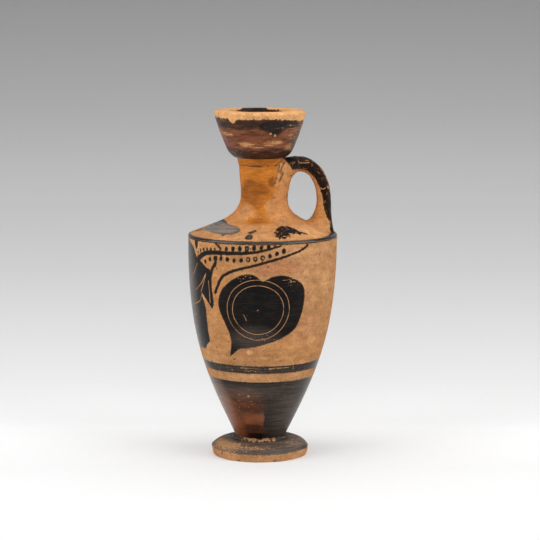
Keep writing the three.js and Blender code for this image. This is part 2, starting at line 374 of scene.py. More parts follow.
def cloud(name, size, contrast=1.0):
    """A soft lumpy texture with lumps of one size."""
    texture = bpy.data.textures.new(name, "CLOUDS")
    texture.noise_scale = size * MM
    texture.noise_depth = 2
    texture.contrast = contrast
    return texture


def uneven(piece, size, depth):
    """Give a surface the slow unevenness of handwork."""
    displace(piece, cloud(piece.name + "_unevenness", size), depth * 2, 0.5)


def chip(piece, size, depth, weights):
    """Knock small chips out of a mesh where the weights allow it."""
    group = piece.vertex_groups.new(name="chipped")
    for index in np.flatnonzero(weights > 0.02):
        group.add([int(index)], float(weights[index]), "REPLACE")
    displace(piece, cloud(piece.name + "_chips", size, contrast=4.0), -depth, 0.35, group.name)
    piece.vertex_groups.clear()


def ridges(points, lines, width):
    """One along lines drawn on the side view, falling off softly to both sides."""
    return np.exp(-(line_distance(points[:, 0], points[:, 2], lines) / width) ** 2)


def raise_ridges(piece, lines, width, rise):
    """Raise soft ridges on a mesh along lines drawn on its side view."""
    points = read_points(piece)
    normals = np.empty(len(points) * 3, np.float32)
    piece.data.vertices.foreach_get("normal", normals)
    write_points(piece, points + normals.reshape(-1, 3) * (rise * ridges(points, lines, width))[:, None])


def settle(piece, node, material, lumps, depth, sharp=40.0):
    """Finish a piece by hand, give it its material, hang it under the root and hide the packed node that it
    stands for.
    """
    uneven(piece, lumps, depth)
    lean_over(piece)
    start_clean()
    piece.select_set(True)
    bpy.context.view_layer.objects.active = piece
    bpy.ops.object.shade_smooth_by_angle(angle=math.radians(sharp))
    piece.data.materials.clear()
    piece.data.materials.append(material)
    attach(piece, "root")
    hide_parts(node)


# Painting: each shape gives, for every point, how deep the point lies inside it in millimetres

FAR = -50.0
PAINT_MARGIN = 4.0       # farther from a shape than this, depths aren't measured
DEPTH_SPAN = 6.0         # depths that a stored field spans, half of them outside the shape
LINE_SPAN = 3.0          # distances from a line that a stored field spans
PAINT_RADIUS = 31.0      # arc lengths on the body are taken on this radius


def flowing(points, closed):
    """A smooth line through given points. A point given twice makes a corner."""
    points = np.array(points, float)
    if closed:
        before, after = np.roll(points, 1, axis=0), np.roll(points, -1, axis=0)
        beyond = np.roll(points, -2, axis=0)
        spans = len(points)
    else:
        padded = np.vstack([2 * points[0] - points[1], points, 2 * points[-1] - points[-2]])
        before, after, beyond = padded[:-3], padded[2:-1], padded[3:]
        spans = len(points) - 1
    line = []
    for index in range(spans):
        first, second, third, fourth = before[index], points[index], after[index], beyond[index]
        for along in np.arange(0, 1, 0.2):
            line.append(0.5 * (2 * second + (third - first) * along
                               + (2 * first - 5 * second + 4 * third - fourth) * along ** 2
                               + (3 * second - first - 3 * third + fourth) * along ** 3))
    if not closed:
        line.append(points[-1])
    return np.array(line)


def near(across, up, points):
    """Which places lie close enough to some points to be worth measuring."""
    low, high = points.min(axis=0) - PAINT_MARGIN, points.max(axis=0) + PAINT_MARGIN
    return (across > low[0]) & (across < high[0]) & (up > low[1]) & (up < high[1])


def span_distance(across, up, start, end):
    """Distance to a straight span, and how far along it the nearest place is."""
    run = end - start
    length = max(float(run @ run), 1e-9)
    along = np.clip(((across - start[0]) * run[0] + (up - start[1]) * run[1]) / length, 0, 1)
    return np.hypot(across - start[0] - along * run[0], up - start[1] - along * run[1]), along


def blot(across, up, points):
    """Depth inside a closed painted shape."""
    outline = flowing(points, True)
    depth = np.full(across.shape, FAR)
    close = near(across, up, outline)
    flat, high = across[close], up[close]
    distance = np.full(flat.shape, -FAR)
    inside = np.zeros(flat.shape, bool)
    for start, end in zip(outline, np.roll(outline, -1, axis=0)):
        distance = np.minimum(distance, span_distance(flat, high, start, end)[0])
        rise = end[1] - start[1]
        if rise:
            crossing = start[0] + (high - start[1]) / rise * (end[0] - start[0])
            inside ^= ((start[1] > high) != (end[1] > high)) & (flat < crossing)
    depth[close] = np.where(inside, distance, -distance)
    return depth


def brushed(across, up, points, begin_width, end_width):
    """Depth inside a brush stroke whose width changes along it."""
    line = flowing(points, False)
    depth = np.full(across.shape, FAR)
    close = near(across, up, line)
    flat, high = across[close], up[close]
    deepest = np.full(flat.shape, FAR)
    for index in range(len(line) - 1):
        distance, along = span_distance(flat, high, line[index], line[index + 1])
        width = begin_width + (end_width - begin_width) * (index + along) / (len(line) - 1)
        deepest = np.maximum(deepest, width / 2 - distance)
    depth[close] = deepest
    return depth


def line_distance(across, up, lines):
    """Distance to the nearest of some drawn lines."""
    return -np.maximum.reduce([brushed(across, up, line, 0.0, 0.0) for line in lines])


def dotted(across, up, points, spacing, radius, hollow=()):
    """Depth inside a row of dots along a line. The dots named as hollow are small rings."""
    line = flowing(points, False)
    lengths = np.concatenate([[0], np.cumsum(np.hypot(*np.diff(line, axis=0).T))])
    depth = np.full(across.shape, FAR)
    for index, length in enumerate(np.arange(0, lengths[-1] + 0.01, spacing)):
        centre = np.interp(length, lengths, line[:, 0]), np.interp(length, lengths, line[:, 1])
        distance = np.hypot(across - centre[0], (up - centre[1]) * 0.78)
        inside = radius * (0.9 + 0.2 * (index * 7 % 5) / 4) - distance
        if index in hollow:
            inside = np.minimum(radius + 0.1 - distance, distance - radius * 0.45)
        depth = np.maximum(depth, inside)
    return depth


def banded(up, low, high):
    """Depth inside a level band."""
    return np.minimum(up - low, high - up)


def patch(across, up, low, high, soft):
    """One inside a box of two corners, falling to nothing over a soft edge."""
    side = np.minimum(across - low[0], high[0] - across)
    level = np.minimum(up - low[1], high[1] - up)
    return np.clip(np.minimum(side, level) / soft + 0.5, 0, 1)


def smudges(across, up, ovals, slope=1.5):
    """The strongest of some soft ovals, each a middle, its half width and half height, and its strength."""
    strongest = np.zeros(across.shape)
    for middle_across, middle_up, half_across, half_up, strength in ovals:
        turned = (across - middle_across + 180) % 360 - 180
        off = (turned / half_across) ** 2 + ((up - middle_up) / half_up) ** 2
        strongest = np.maximum(strongest, strength * np.clip(slope * (1 - off), 0, 1))
    return strongest


def stored_depth(depth):
    """Depth as the materials expect it: a half at the edge, and nothing where a piece has no paint."""
    return np.clip(0.5 + depth / DEPTH_SPAN, 0, 1)


def stored_distance(distance):
    """Closeness as the materials expect it: one on the line, and nothing where the span ends."""
    return np.clip(1 - distance / LINE_SPAN, 0, 1)


# The painted scene on the body, arc and height on the side that faces the camera

EYE_CENTRE = (-1.65, 67.8)
EYE_REACH = 60.0         # distance from the eye's middle that the stored field spans
EYE_RINGS = (13.03, 10.6)
EYE_SHAPE = (
    (-19.7, 69), (-18.4, 74.7), (-14.3, 79.3), (-9.5, 82.4), (-6, 83.2), (-2.3, 82.3), (0, 80.2), (1.8, 81),
    (5, 82.3), (9, 82.6), (14, 80.8), (18, 77.7), (18.9, 74), (18.6, 67.5), (15.7, 59.5), (9, 55.2),
    (1.8, 52.8), (-5.7, 51), (-10, 50.6), (-13.2, 48.6), (-16.2, 46.8), (-16.2, 46.8), (-14.6, 52.5),
    (-15.2, 57.5), (-18.3, 64.5))
BROW = (
    (-21, 74.5), (-19.2, 78.2), (-16.6, 82), (-11, 84.7), (-2.7, 87), (7.4, 89.9), (16, 92.7), (19.6, 94.7))
BRANCH = ((-31.3, 88), (-27.5, 90.3), (-23.8, 91.3), (-17, 91.7), (-8.9, 91.9), (-2.8, 92.5), (2.5, 93.8),
          (7.4, 95))
BUDS = ((-31.4, 90.7), (-28, 92.3), (-20.8, 93))
UPPER_BERRIES = ((-15.1, 93.6), (-6, 94.1), (4.6, 94.9))
LOWER_BERRIES = (
    (-26.3, 87.2), (-22.6, 88.8), (-16.6, 89.4), (-11.5, 88.8), (-5.2, 89.5), (1.3, 90.4), (10.4, 93.5))
STEM = ((-20, 89.9), (-20.2, 88.4), (-21, 86))
TENDRIL = ((-20.3, 95.5), (-18, 93.5))
LEAF_BUD = ((-33, 94.6), (-32.8, 92.8))
EYE_SCRATCHES = (((-6.3, 65.5), (-6.05, 65.4)), ((-7.9, 65.8), (-7.2, 64.6), (-6.66, 63.3)))
UPPER_BAND = (39.4, 42.9)
DARK_ZONE_TOP = 35.5

# The seated draped figure between the eyes, arc from the front line and height

FIGURE_SHAPE = (
    (4, 95.2), (8.9, 94.2), (13.2, 92.2), (15.7, 88.9), (19.3, 87.2), (22.4, 85.1), (25.3, 84), (25.3, 84),
    (28.8, 89.8), (28.8, 89.8), (28.3, 87), (26.2, 81.6), (25.9, 76.2), (26.5, 69.8), (25.4, 67),
    (25.4, 67), (23.1, 69.5), (19.8, 72.8), (18.7, 73.3), (18.7, 73.3), (21.1, 67.4), (21.2, 61.9),
    (21, 57.3), (21.1, 52.2), (21.1, 52.2), (19.2, 51.4), (15.4, 48.6), (11, 48.5), (4, 48.5), (3, 51),
    (4.4, 54), (3.5, 60), (-1, 61), (-4.5, 55), (-4.2, 50), (-8, 48.5), (-14.5, 48.3), (-13.5, 50.3),
    (-10, 52), (-11.5, 60), (-17.5, 65.5), (-17.5, 69.5), (-12, 72), (-8, 74), (-10, 79), (-12.5, 83),
    (-9, 87.3), (-3, 88.4), (0, 93))
HEAD_SHAPE = (
    (-2.2, 87.5), (-3.2, 88.9), (-4.6, 89.1), (-4.4, 90.6), (-5.4, 91.3), (-4.2, 92.6), (-3.4, 94.2),
    (-0.5, 95.2), (3, 94.9), (5.2, 92.8), (5.6, 90.4), (7.2, 88))
RAISED_ARM = ((-10, 83), (-14.5, 84.3), (-18, 87.8))
OUTER_FOLDS = ((22.5, 82.3), (19, 77.5), (13.9, 74))
TAIL_FOLDS = (((22.7, 82.3), (20.3, 77), (18.6, 73.8)), ((24, 79.2), (24.3, 73.5), (24.3, 69.5)))
MANTLE_FOLDS = (
    OUTER_FOLDS, *TAIL_FOLDS, ((16.5, 86), (13.6, 82), (8, 77)),
    ((18.9, 72.5), (16.8, 69.6), (11, 67.6), (2, 66.5)), ((12, 63.4), (8, 62.5), (-4, 65)),
    ((11.5, 57.5), (9, 57.3), (6, 58.5)), ((-9, 84), (-4, 80), (2, 78.5)),
    ((-8, 55), (-8.5, 60), (-12, 66)), ((4.6, 89.6), (1, 88.6), (-2, 88.2)), ((-3, 91.9), (-2.2, 92.1)))

# The shoulder's ornaments, plan places: angle from the camera's side and radius

COCK_SHAPE = (
    (-74, 26.6), (-86.5, 29.6), (-89, 28), (-84, 25.4), (-92, 24.2), (-104, 23.4), (-112, 22.6), (-117, 24),
    (-121, 22), (-126, 22.6), (-122, 20), (-118, 17.6), (-110, 17.6), (-101, 19.2), (-92, 17.3), (-76, 17),
    (-62, 17.6), (-49, 18.9), (-34.5, 19.8), (-26, 21.8), (-24.8, 24.3), (-29, 26.2), (-34.5, 26.6),
    (-37.6, 28.4), (-41, 26.9), (-53, 26.8))
IVY_SHAPE = (
    (13.4, 23.2), (17.7, 20.4), (24.8, 18.9), (31.4, 19.2), (38, 21.6), (40.2, 24.2), (44.8, 26.4),
    (44.1, 27.3), (39, 26.1), (35.8, 27.2), (33, 25.6), (29.6, 26.4), (26.4, 25), (24.4, 28.4), (22, 27.8),
    (18.8, 29.8), (16, 28.9), (13.6, 29.8), (13.4, 28), (10.8, 28), (12.6, 26.6), (9.8, 26.2), (12.2, 25.2),
    (11.2, 24.2))
SMALL_MARK = ((-12.2, 24.1), (-8.4, 22.9))
RING_MARK = (-11.7, 28.0)
EDGE_LINE = 31.3         # inner radius of the black line round the shoulder's edge

# Worn, misfired and pink places: middle, half width, half height and strength

BODY_PINK = ((10, 86, 24, 4.5, 0.8), (40, 60, 14, 9, 0.5), (-16, 52, 10, 5, 0.6), (150, 70, 30, 12, 0.7),
             (-130, 88, 30, 6, 0.7))
BODY_RED = (
    (-62, 17, 44, 18, 1.4), (-24, 24, 36, 10, 0.55), (-12, 12.4, 30, 2.2, 0.5), (150, 20, 34, 14, 0.9),
    (-128, 28, 30, 9, 0.6))
RED_PATCH = ((-60, 15.2), (5.4, 21.4))
# Dust on the gloss and painted sheen: the strong grey near the left edge of the dark zone and the figure is
# painted sheen, where light grazes the gloss.
BODY_DUST_AND_SHEEN = ((-84, 25, 46, 21, 1.05), (0, 31, 80, 5, 0.3), (60, 22, 70, 24, 0.35), (0, 41, 90, 3, 0.22),
             (180, 24, 80, 14, 0.45), (-80, 70, 20, 34, 0.5), (-6, 55, 26, 7, 0.25))
BODY_GOLD = ((-45, 76, 40, 34, 0.5), (30, 50, 40, 10, 0.4), (150, 80, 40, 20, 0.5))
BODY_PALE = (
    (-10, 49.1, 3.4, 1.2, 0.9), (3, 46.5, 4, 0.8, 0.5), (48, 52, 6, 5, 0.3), (30, 92, 20, 2, 0.3),
    (58, 78, 8, 9, 0.3))
BODY_SCRATCHES = (
    (-18, 27, 30, 8, 0.5), (-14, 12.6, 24, 2, 0.4), (-50, 26, 34, 9, 0.35), (26, 28, 40, 9, 0.3),
    (4, 42.3, 3, 0.7, 1.2), (-12, 41.2, 60, 2.2, 0.7), (40, 41.4, 50, 2, 0.5), (175, 27, 60, 10, 0.45),
    (175, 41.4, 60, 2, 0.6))
# Flecks of lost gloss in the dark zone, angle, height and radius, and streaks that the brush left in the band
FLECK_WIDENING = 9       # flecks are measured on this radius, less than the zone's own, so they come out wide
ZONE_FLECKS = (
    (-25, 28.7, 0.1), (-20, 28, 0), (-15, 28.8, 0.15), (-17, 27.2, 0.15), (-18, 25.6, 0.15),
    (-11, 24.8, 0.2), (-4.5, 23.3, 0.15), (-1, 26.6, 0), (-8, 31, 0), (-11, 31.2, 0), (-29, 21.7, 0.05),
    (-31, 19.7, 0.05), (-50, 25.4, 0.2), (13, 29.3, 0.05), (25, 29.2, 0), (37, 29.4, 0), (48, 29.9, 0.1),
    (38, 27.3, 0))
BAND_STREAKS = (((-11, 41.9), (2.6, 42.2)), ((-2.6, 41), (5, 40.9)), ((4, 42), (15, 41.8)))
EYE_FLAKES = ((13.5, 80.6, 8, 3.4, 0.75), (-8, 82, 7, 2.6, 0.6), (-13, 50, 5, 4, 0.25), (0, 54.6, 18, 5, 0.4))
MOUTH_BLACK = (
    (16, 144.4, 26, 3.4, 1.0), (22, 142.6, 14, 3.0, 1.0), (46, 145, 34, 2.8, 1.0),
    (-72, 145.6, 30, 3.0, 0.85), (-30, 145, 50, 2.8, 0.8), (125, 144, 26, 5, 1.0), (-150, 142, 26, 4, 0.8),
    (70, 137, 26, 5, 0.6))
MOUTH_WORN = (
    (-60, 140.4, 30, 1.4, 0.9), (-20, 136.4, 24, 1.2, 0.95), (-12, 135, 32, 0.9, 0.75),
    (23, 136.8, 20, 2.0, 0.95), (58, 139.6, 20, 3, 0.55), (57, 134.8, 18, 2.4, 0.9), (0, 133, 70, 2, 0.12),
    (55, 143, 26, 5, 0.4), (15.3, 140.9, 2.6, 0.9, 1.5), (22.2, 140.4, 2.8, 0.8, 1.5),
    (118, 136, 22, 1.5, 0.6), (-140, 138, 30, 1.4, 0.6), (170, 141, 18, 1.2, 0.5))
NECK_SMEARS = (
    (-26, 114.8, 56, 7, 0.95), (28, 119.5, 16, 2.4, 0.9), (28, 112.6, 12, 3.4, 1.0),
    (-8, 103.6, 26, 2, 0.6), (0, 128, 140, 2.8, 0.45))
WASH_THIN = (
    (-50, 107.4, 40, 4.6, 1.1), (12, 110, 13, 2.4, 1.0), (-64, 121, 14, 6, 0.6), (150, 112, 40, 8, 0.8))
WASH_PATCH = ((-26, 102.5), (9.5, 105.4))
BEAD_BROKEN = ((-20, 0, 23, 1, 1.0), (18, 0, 19, 1, 1.0), (150, 0, 30, 1, 0.8), (-110, 0, 14, 1, 0.7))
FOOT_WORN = (
    (-56, 18.4, 48, 4.4, 0.72), (-16, 18.8, 42, 2.4, 0.5), (62, 17, 30, 4, 0.3), (170, 17, 60, 5, 0.35))
FOOT_NICKS = ((-26, 0.2), (18.5, 0.2), (-52, 2.4), (120, 0.3), (-150, 0.4))

# A crack where the handle's luting pulled off the neck, darkened as painted shade in its hollow, and
# scratches on the strap

LUTING_RIDGES = (
    ((10.2, 127.2), (8.4, 124.4), (7, 121.6), (6, 118.8)), ((8.8, 127.4), (7.6, 125.4)),
    ((10.8, 124.4), (9.4, 121)))
LUTING_CRACKS = (
    ((10.3, 127.8), (9.1, 125.6), (7.7, 123.2)), ((8.3, 126.8), (7.2, 124), (6.3, 121), (5.5, 118.4)),
    ((9.6, 123.8), (8.5, 121.6), (7.2, 119.4)))
RIDGED = ("washed_neck", "handle_top_smear")
STRAP_SCRATCHES = (
    ((9.4, 2.5), (10.2, 1.0), (12.4, 1.3), (13.6, 2.0)), ((24.7, -0.6), (25.3, 0.2), (24.9, 1.2)))
STRAP_WORN = (
    (22, 3.3, 15, 0.9, 0.75), (25, -0.6, 0.9, 0.6, 0.8), (25, 2.4, 0.9, 0.6, 0.8), (12, -1.4, 9, 0.8, 0.35))


def plan(points):
    """Plan places in millimetres for points given by angle and radius."""
    turns, radii = np.radians([point[0] for point in points]), np.array([point[1] for point in points])
    return np.column_stack([radii * np.sin(turns), -radii * np.cos(turns)])


def places(piece):
    """A mesh's points, with their heights, radii and angles from the camera's side."""
    points = read_points(piece)
    across, away = points[:, 0], -points[:, 1]
    return points, points[:, 2], np.hypot(across, away), np.degrees(np.arctan2(across, away))


def paint_body(piece):
    """Work out the body's painted scene and its worn and misfired places."""
    points, height, _, shown = places(piece)
    across, away = points[:, 0], points[:, 1]
    side = np.arctan2(across, np.abs(away)) * PAINT_RADIUS
    front = np.arctan2(-away, -across) * PAINT_RADIUS
    shapes = [
        banded(height, *UPPER_BAND), DARK_ZONE_TOP - height, height - (BODY_TOP + 0.1),
        blot(side, height, EYE_SHAPE), brushed(side, height, BROW, 1.5, 0.95),
        brushed(side, height, BRANCH, 2.5, 0.8), brushed(side, height, STEM, 0.9, 1.5),
        brushed(side, height, TENDRIL, 0.9, 1.1), brushed(side, height, LEAF_BUD, 3.0, 1.8),
        dotted(side, height, BUDS, 2.2, 0.58), dotted(side, height, UPPER_BERRIES, 2.95, 0.84, (3,)),
        dotted(side, height, LOWER_BERRIES, 3.0, 0.84, (7, 8, 9)),
        blot(front, height, FIGURE_SHAPE), blot(front, height, HEAD_SHAPE),
        brushed(front, height, RAISED_ARM, 3.0, 1.4)]
    eye_distance = np.hypot((side - EYE_CENTRE[0]) * 0.955, height - EYE_CENTRE[1])
    flecks = [np.hypot(np.radians(shown - turned) * FLECK_WIDENING, height - up) - size
              for turned, up, size in ZONE_FLECKS]
    cut = np.minimum.reduce([
        line_distance(front, height, MANTLE_FOLDS), line_distance(side, height, EYE_SCRATCHES),
        line_distance(side, height, BAND_STREAKS), *flecks])
    fading = np.interp(shown, (-46, -20), (0.0, 1.2)) * np.interp(height, (18.5, 24), (1.0, 0.3))
    wavering = shown + 0.9 * np.sin(1.3 * height)
    brick = patch(wavering, height, *RED_PATCH, 2.4) * fading
    write_fields(
        piece, gloss=stored_depth(np.maximum.reduce(shapes)), eye=np.clip(1 - eye_distance / EYE_REACH, 0, 1),
        cut=stored_distance(np.maximum(cut, 0)), red=np.maximum(smudges(shown, height, BODY_RED, 0.8), brick),
        wear=np.maximum(smudges(shown, height, BODY_SCRATCHES, 0.9), smudges(side, height, EYE_FLAKES, 0.9)),
        pink=smudges(shown, height, BODY_PINK), dust=smudges(shown, height, BODY_DUST_AND_SHEEN, 0.9),
        pale=smudges(shown, height, BODY_PALE), gold=smudges(shown, height, BODY_GOLD, 0.9), sheen=1.0)


def paint_shoulder(piece):
    """Work out the shoulder's ornaments, its edge line and the wash that runs down onto it."""
    points = read_points(piece)
    across, away = points[:, 0], -np.abs(points[:, 1])
    radius = np.hypot(across, away)
    turn_angle = np.degrees(np.arctan2(across, -away))
    edge = np.interp(turn_angle, (48, 66, 82), (EDGE_LINE, EDGE_LINE - 0.7, EDGE_LINE - 2.2))
    ring_middle = plan([RING_MARK])[0]
    ring = np.hypot(across - ring_middle[0], (away - ring_middle[1]) * 0.75)
    shapes = [
        radius - edge, blot(across, points[:, 1], plan(COCK_SHAPE)), blot(across, away, plan(IVY_SHAPE)),
        brushed(across, away, plan(SMALL_MARK), 2.2, 1.6), 0.75 - np.abs(ring - 0.95)]
    top = points[:, 2] > SHOULDER_BOTTOM + 0.02
    paint_wash(piece)
    left_worn = patch(turn_angle, radius, (-40, 17), (0, 29), 8)
    right_worn = patch(turn_angle, radius, (8, 16), (48, 30), 6)
    shine = smudges(turn_angle, radius, ((-60, 23, 50, 8, 0.35),))
    # The grey on the cock is dust and painted sheen, where light grazes the sloping shoulder.
    write_fields(
        piece, gloss=stored_depth(np.where(top, np.maximum.reduce(shapes), FAR)),
        wear=np.maximum(left_worn, right_worn) * 0.35,
        pale=smudges(turn_angle, radius, ((50, 25, 30, 7, 0.5), (-30, 29, 20, 3, 0.2))),
        dust=smudges(turn_angle, radius, ((-60, 23, 45, 6, 1.0), (-10, 26, 14, 5, 0.2))),
        sheen=np.maximum(np.clip((radius - 30.6) / 0.6, 0, 1), shine))


def paint_wash(piece):
    """Work out where the ochre wash lies on the neck, where it is thick and where the luting cracked."""
    points, height, radius, _ = places(piece)
    side = np.degrees(np.arctan2(points[:, 0], np.abs(points[:, 1])))
    limit = np.interp(height, (104, 107, 110, 114, 118, 122, 128), (9, 11, 19, 30, 42, 50, 60))
    depth = np.minimum((limit - side) * 0.17, (height - 102.7) * 0.5)
    depth = np.clip(depth, -3, 3) - 3 * smudges(side, height, WASH_THIN)
    depth = np.maximum(depth, 8.0 * patch(side, height, *WASH_PATCH, 1.6) - 5.0)
    ridge = ridges(points, LUTING_RIDGES, 0.7)
    depth = np.where(radius < BORE_LIMIT, FAR, depth - 4 * ridge)
    # The line field marks a broken dark line round the foot of the collar, painted shadow under the collar's
    # edge.
    write_fields(
        piece, wash=stored_depth(depth), smear=smudges(side, height, NECK_SMEARS, 1.0),
        line=stored_distance(np.abs(height - COLLAR_BOTTOM - 0.2)), gold=np.clip((height - 96) / 8, 0.6, 1.0),
        crack=stored_distance(line_distance(points[:, 0], height, LUTING_CRACKS)))
    # The ridges are painted pale: partly bare clay where the wash misses them, partly a painted highlight on
    # their crests.
    if piece.name in RIDGED:
        write_fields(piece, pale=0.6 * ridge)


def paint_mouth(piece):
    """Work out the misfired gloss on the cup and the scratches round it."""
    points, height, radius, shown = places(piece)
    outside = radius > np.interp(height, (MOUTH_BOTTOM, 140, MOUTH_TOP), (BORE_LIMIT, 12.6, 16.5))
    limit = np.interp(shown, (-180, -60, -43, -41, -34, -31, 20, 45, 70, 180),
                      (147, 147.3, 147.1, 145.9, 145.6, 147, 147.3, 146.5, 145.8, 147))
    pool = np.interp(points[:, 0], (-13, -11, -9.5, 8, 10.5, 13), (145.5, 146.4, 149.4, 149.4, 148.2, 146.5))
    depth = np.where(outside, limit, pool) - height
    far_rim = patch(points[:, 0], points[:, 1], (-8.5, 4), (3.5, 15.4), 4.0)
    depth = np.maximum(depth, np.where(height > 147.5, 5 * far_rim - 3.2, FAR))
    dark_foot = np.clip((134.8 - height) / 1.6, 0, 1) * 0.8
    black = np.maximum(smudges(shown, height, MOUTH_BLACK), dark_foot)
    # The clay grows paler towards the rim's top, a painted highlight where it faces up to the light.
    write_fields(
        piece, gloss=stored_depth(depth), red=np.where(outside, np.clip(0.95 - 0.92 * black, 0, 1), 0.1),
        wear=np.where(outside, smudges(shown, height, MOUTH_WORN, 0.9), 0), gold=0.7,
        pale=np.interp(height, (145, 147), (0.4, 0.9)))


def paint_foot(piece):
    """Work out the worn gloss on top of the foot and the nicks in its edge."""
    _, height, radius, shown = places(piece)
    edge = radius.max() - 0.2
    rim_line = np.clip((radius - edge + 1.3) / 0.5, 0, 1) * np.interp(shown, (-40, -10), (0.2, 1.0))
    nicks = [np.hypot(np.radians(shown - turned) * radius, height - up) for turned, up in FOOT_NICKS]
    write_fields(
        piece, gloss=stored_depth(np.where(height > 1.0, height - 3.3, FAR)),
        wear=0.34 + smudges(shown, radius, FOOT_WORN, 1.0) - 0.4 * rim_line, red=0.08,
        dust=0.4 + smudges(shown, radius, ((70, 16, 40, 6, 0.2),)), gold=0.15,
        crack=stored_distance(np.maximum(np.minimum.reduce(nicks) - 0.25, 0)))


def paint_bead(piece):
    """Work out the gloss on the bead of clay round the foot, broken away on its camera side."""
    shown = places(piece)[3]
    broken = smudges(shown, shown * 0, BEAD_BROKEN)
    write_fields(piece, gloss=stored_depth(0.45 - 0.6 * broken), wear=0.3, dust=0.2)


# Materials


class Recipe:
    """One material's nodes, built from short calls. Places are in millimetres."""

    def __init__(self, name):
        self.material = bpy.data.materials.new(name)
        self.material.use_nodes = True
        self.tree = self.material.node_tree
        self.shader = self.tree.nodes["Principled BSDF"]
        self.place = self.tree.nodes.new("ShaderNodeTexCoord").outputs["Object"]

    def feed(self, socket, value):
        """Link a socket, or set it to a plain value."""
        if isinstance(value, bpy.types.NodeSocket):
            self.tree.links.new(value, socket)
        else:
            socket.default_value = value

    def add(self, kind, **settings):
        """A new node with its settings."""
        node = self.tree.nodes.new(kind)
        for key, value in settings.items():
            setattr(node, key, value)
        return node

    def math(self, operation, first, second=0.0):
        """Two numbers worked into one."""
        node = self.add("ShaderNodeMath", operation=operation)
        self.feed(node.inputs[0], first)
        self.feed(node.inputs[1], second)
        return node.outputs[0]

    def times(self, first, second):
        """One number times another."""
        return self.math("MULTIPLY", first, second)

    def plus(self, first, second):
        """One number and another."""
        return self.math("ADD", first, second)

    def minus(self, first, second):
        """One number less another."""
        return self.math("SUBTRACT", first, second)

    def most(self, *values):
        """The largest of some numbers."""
        largest = values[0]
        for value in values[1:]:
            largest = self.math("MAXIMUM", largest, value)
        return largest

    def give(self, name, value):
        """Link or set one of the shader's inputs."""
        self.feed(self.shader.inputs[name], value)

    def scaled(self, size, stretch, tilt=0.0):
        """Places counted in features of one size, longer where stretch is under one."""
        mapping = self.add("ShaderNodeMapping")
        self.feed(mapping.inputs["Vector"], self.place)
        mapping.inputs["Rotation"].default_value = (0.0, tilt, 0.0)
        mapping.inputs["Scale"].default_value = tuple(part / (size * MM) for part in stretch)
        return mapping.outputs[0]

    def span(self, value, low, high, start=0.0, end=1.0):
        """A number eased from start to end while the value goes from low to high."""
        node = self.add("ShaderNodeMapRange", interpolation_type="SMOOTHSTEP")
        for socket, number in zip(node.inputs[:5], (value, low, high, start, end)):
            self.feed(socket, number)
        return node.outputs[0]

    def noise(self, size, detail=3.0, stretch=(1.0, 1.0, 1.0), roughness=0.55, tilt=0.0):
        """Cloudy noise with features of about one size, longer where stretch is under one."""
        node = self.add("ShaderNodeTexNoise")
        self.feed(node.inputs["Vector"], self.scaled(size, stretch, tilt))
        node.inputs["Scale"].default_value = 1.0
        node.inputs["Detail"].default_value = detail
        node.inputs["Roughness"].default_value = roughness
        return node.outputs[0]

    def specks(self, size, amount, stretch=(1.0, 1.0, 1.0)):
        """Small round specks strewn one to a cell, most of them tiny."""
        node = self.add("ShaderNodeTexVoronoi", feature="F1")
        self.feed(node.inputs["Vector"], self.scaled(size, stretch))
        node.inputs["Scale"].default_value = 1.0
        rare = self.add("ShaderNodeSeparateColor")
        self.feed(rare.inputs[0], node.outputs["Color"])
        reach_of_speck = self.times(self.math("POWER", rare.outputs[0], 4.0), amount)
        return self.span(self.minus(reach_of_speck, node.outputs["Distance"]), -0.03, 0.03)

    def crazing(self, size):
        """Broken hair lines between cells, like crazed gloss."""
        warp = self.add("ShaderNodeVectorMath", operation="ADD")
        self.feed(warp.inputs[0], self.place)
        self.feed(warp.inputs[1], self.shade(self.noise(1.5, 3), 0.8 * MM))
        node = self.add("ShaderNodeTexVoronoi", feature="DISTANCE_TO_EDGE")
        self.feed(node.inputs["Vector"], warp.outputs[0])
        node.inputs["Scale"].default_value = 1 / (size * MM)
        kept = self.span(self.noise(3.0, 4), 0.5, 0.6)
        return self.times(self.span(node.outputs["Distance"], 0.005, 0.045, 1.0, 0.0), kept)

    def field(self, name):
        """A number that the mesh keeps for each point."""
        return self.add("ShaderNodeAttribute", attribute_name=name).outputs["Fac"]

    def depth(self, name):
        """Depth inside a painted shape, in millimetres."""
        return self.times(self.minus(self.field(name), 0.5), DEPTH_SPAN)

    def distance(self, name, reach_of_field=LINE_SPAN):
        """Distance from a painted line, in millimetres."""
        return self.times(self.minus(1.0, self.field(name)), reach_of_field)

    def sway(self, size, detail, **settings):
        """Noise that goes as far below nothing as above it."""
        return self.minus(self.noise(size, detail, **settings), 0.5)

    def mix(self, amount, under, over):
        """One colour over another."""
        node = self.add("ShaderNodeMix", data_type="RGBA")
        self.feed(node.inputs[0], amount)
        for socket, colour in zip((node.inputs[6], node.inputs[7]), (under, over)):
            self.feed(socket, colour if isinstance(colour, bpy.types.NodeSocket) else (*colour, 1.0))
        return node.outputs[2]

    def shade(self, colour, amount):
        """A colour made lighter or darker."""
        node = self.add("ShaderNodeVectorMath", operation="SCALE")
        self.feed(node.inputs[0], colour)
        self.feed(node.inputs["Scale"], amount)
        return node.outputs[0]

    def blend(self, amount, under, over):
        """One number over another."""
        node = self.add("ShaderNodeMix", data_type="FLOAT")
        for socket, value in zip(node.inputs[:4], (amount, None, under, over)):
            if value is not None:
                self.feed(socket, value)
        return node.outputs[0]


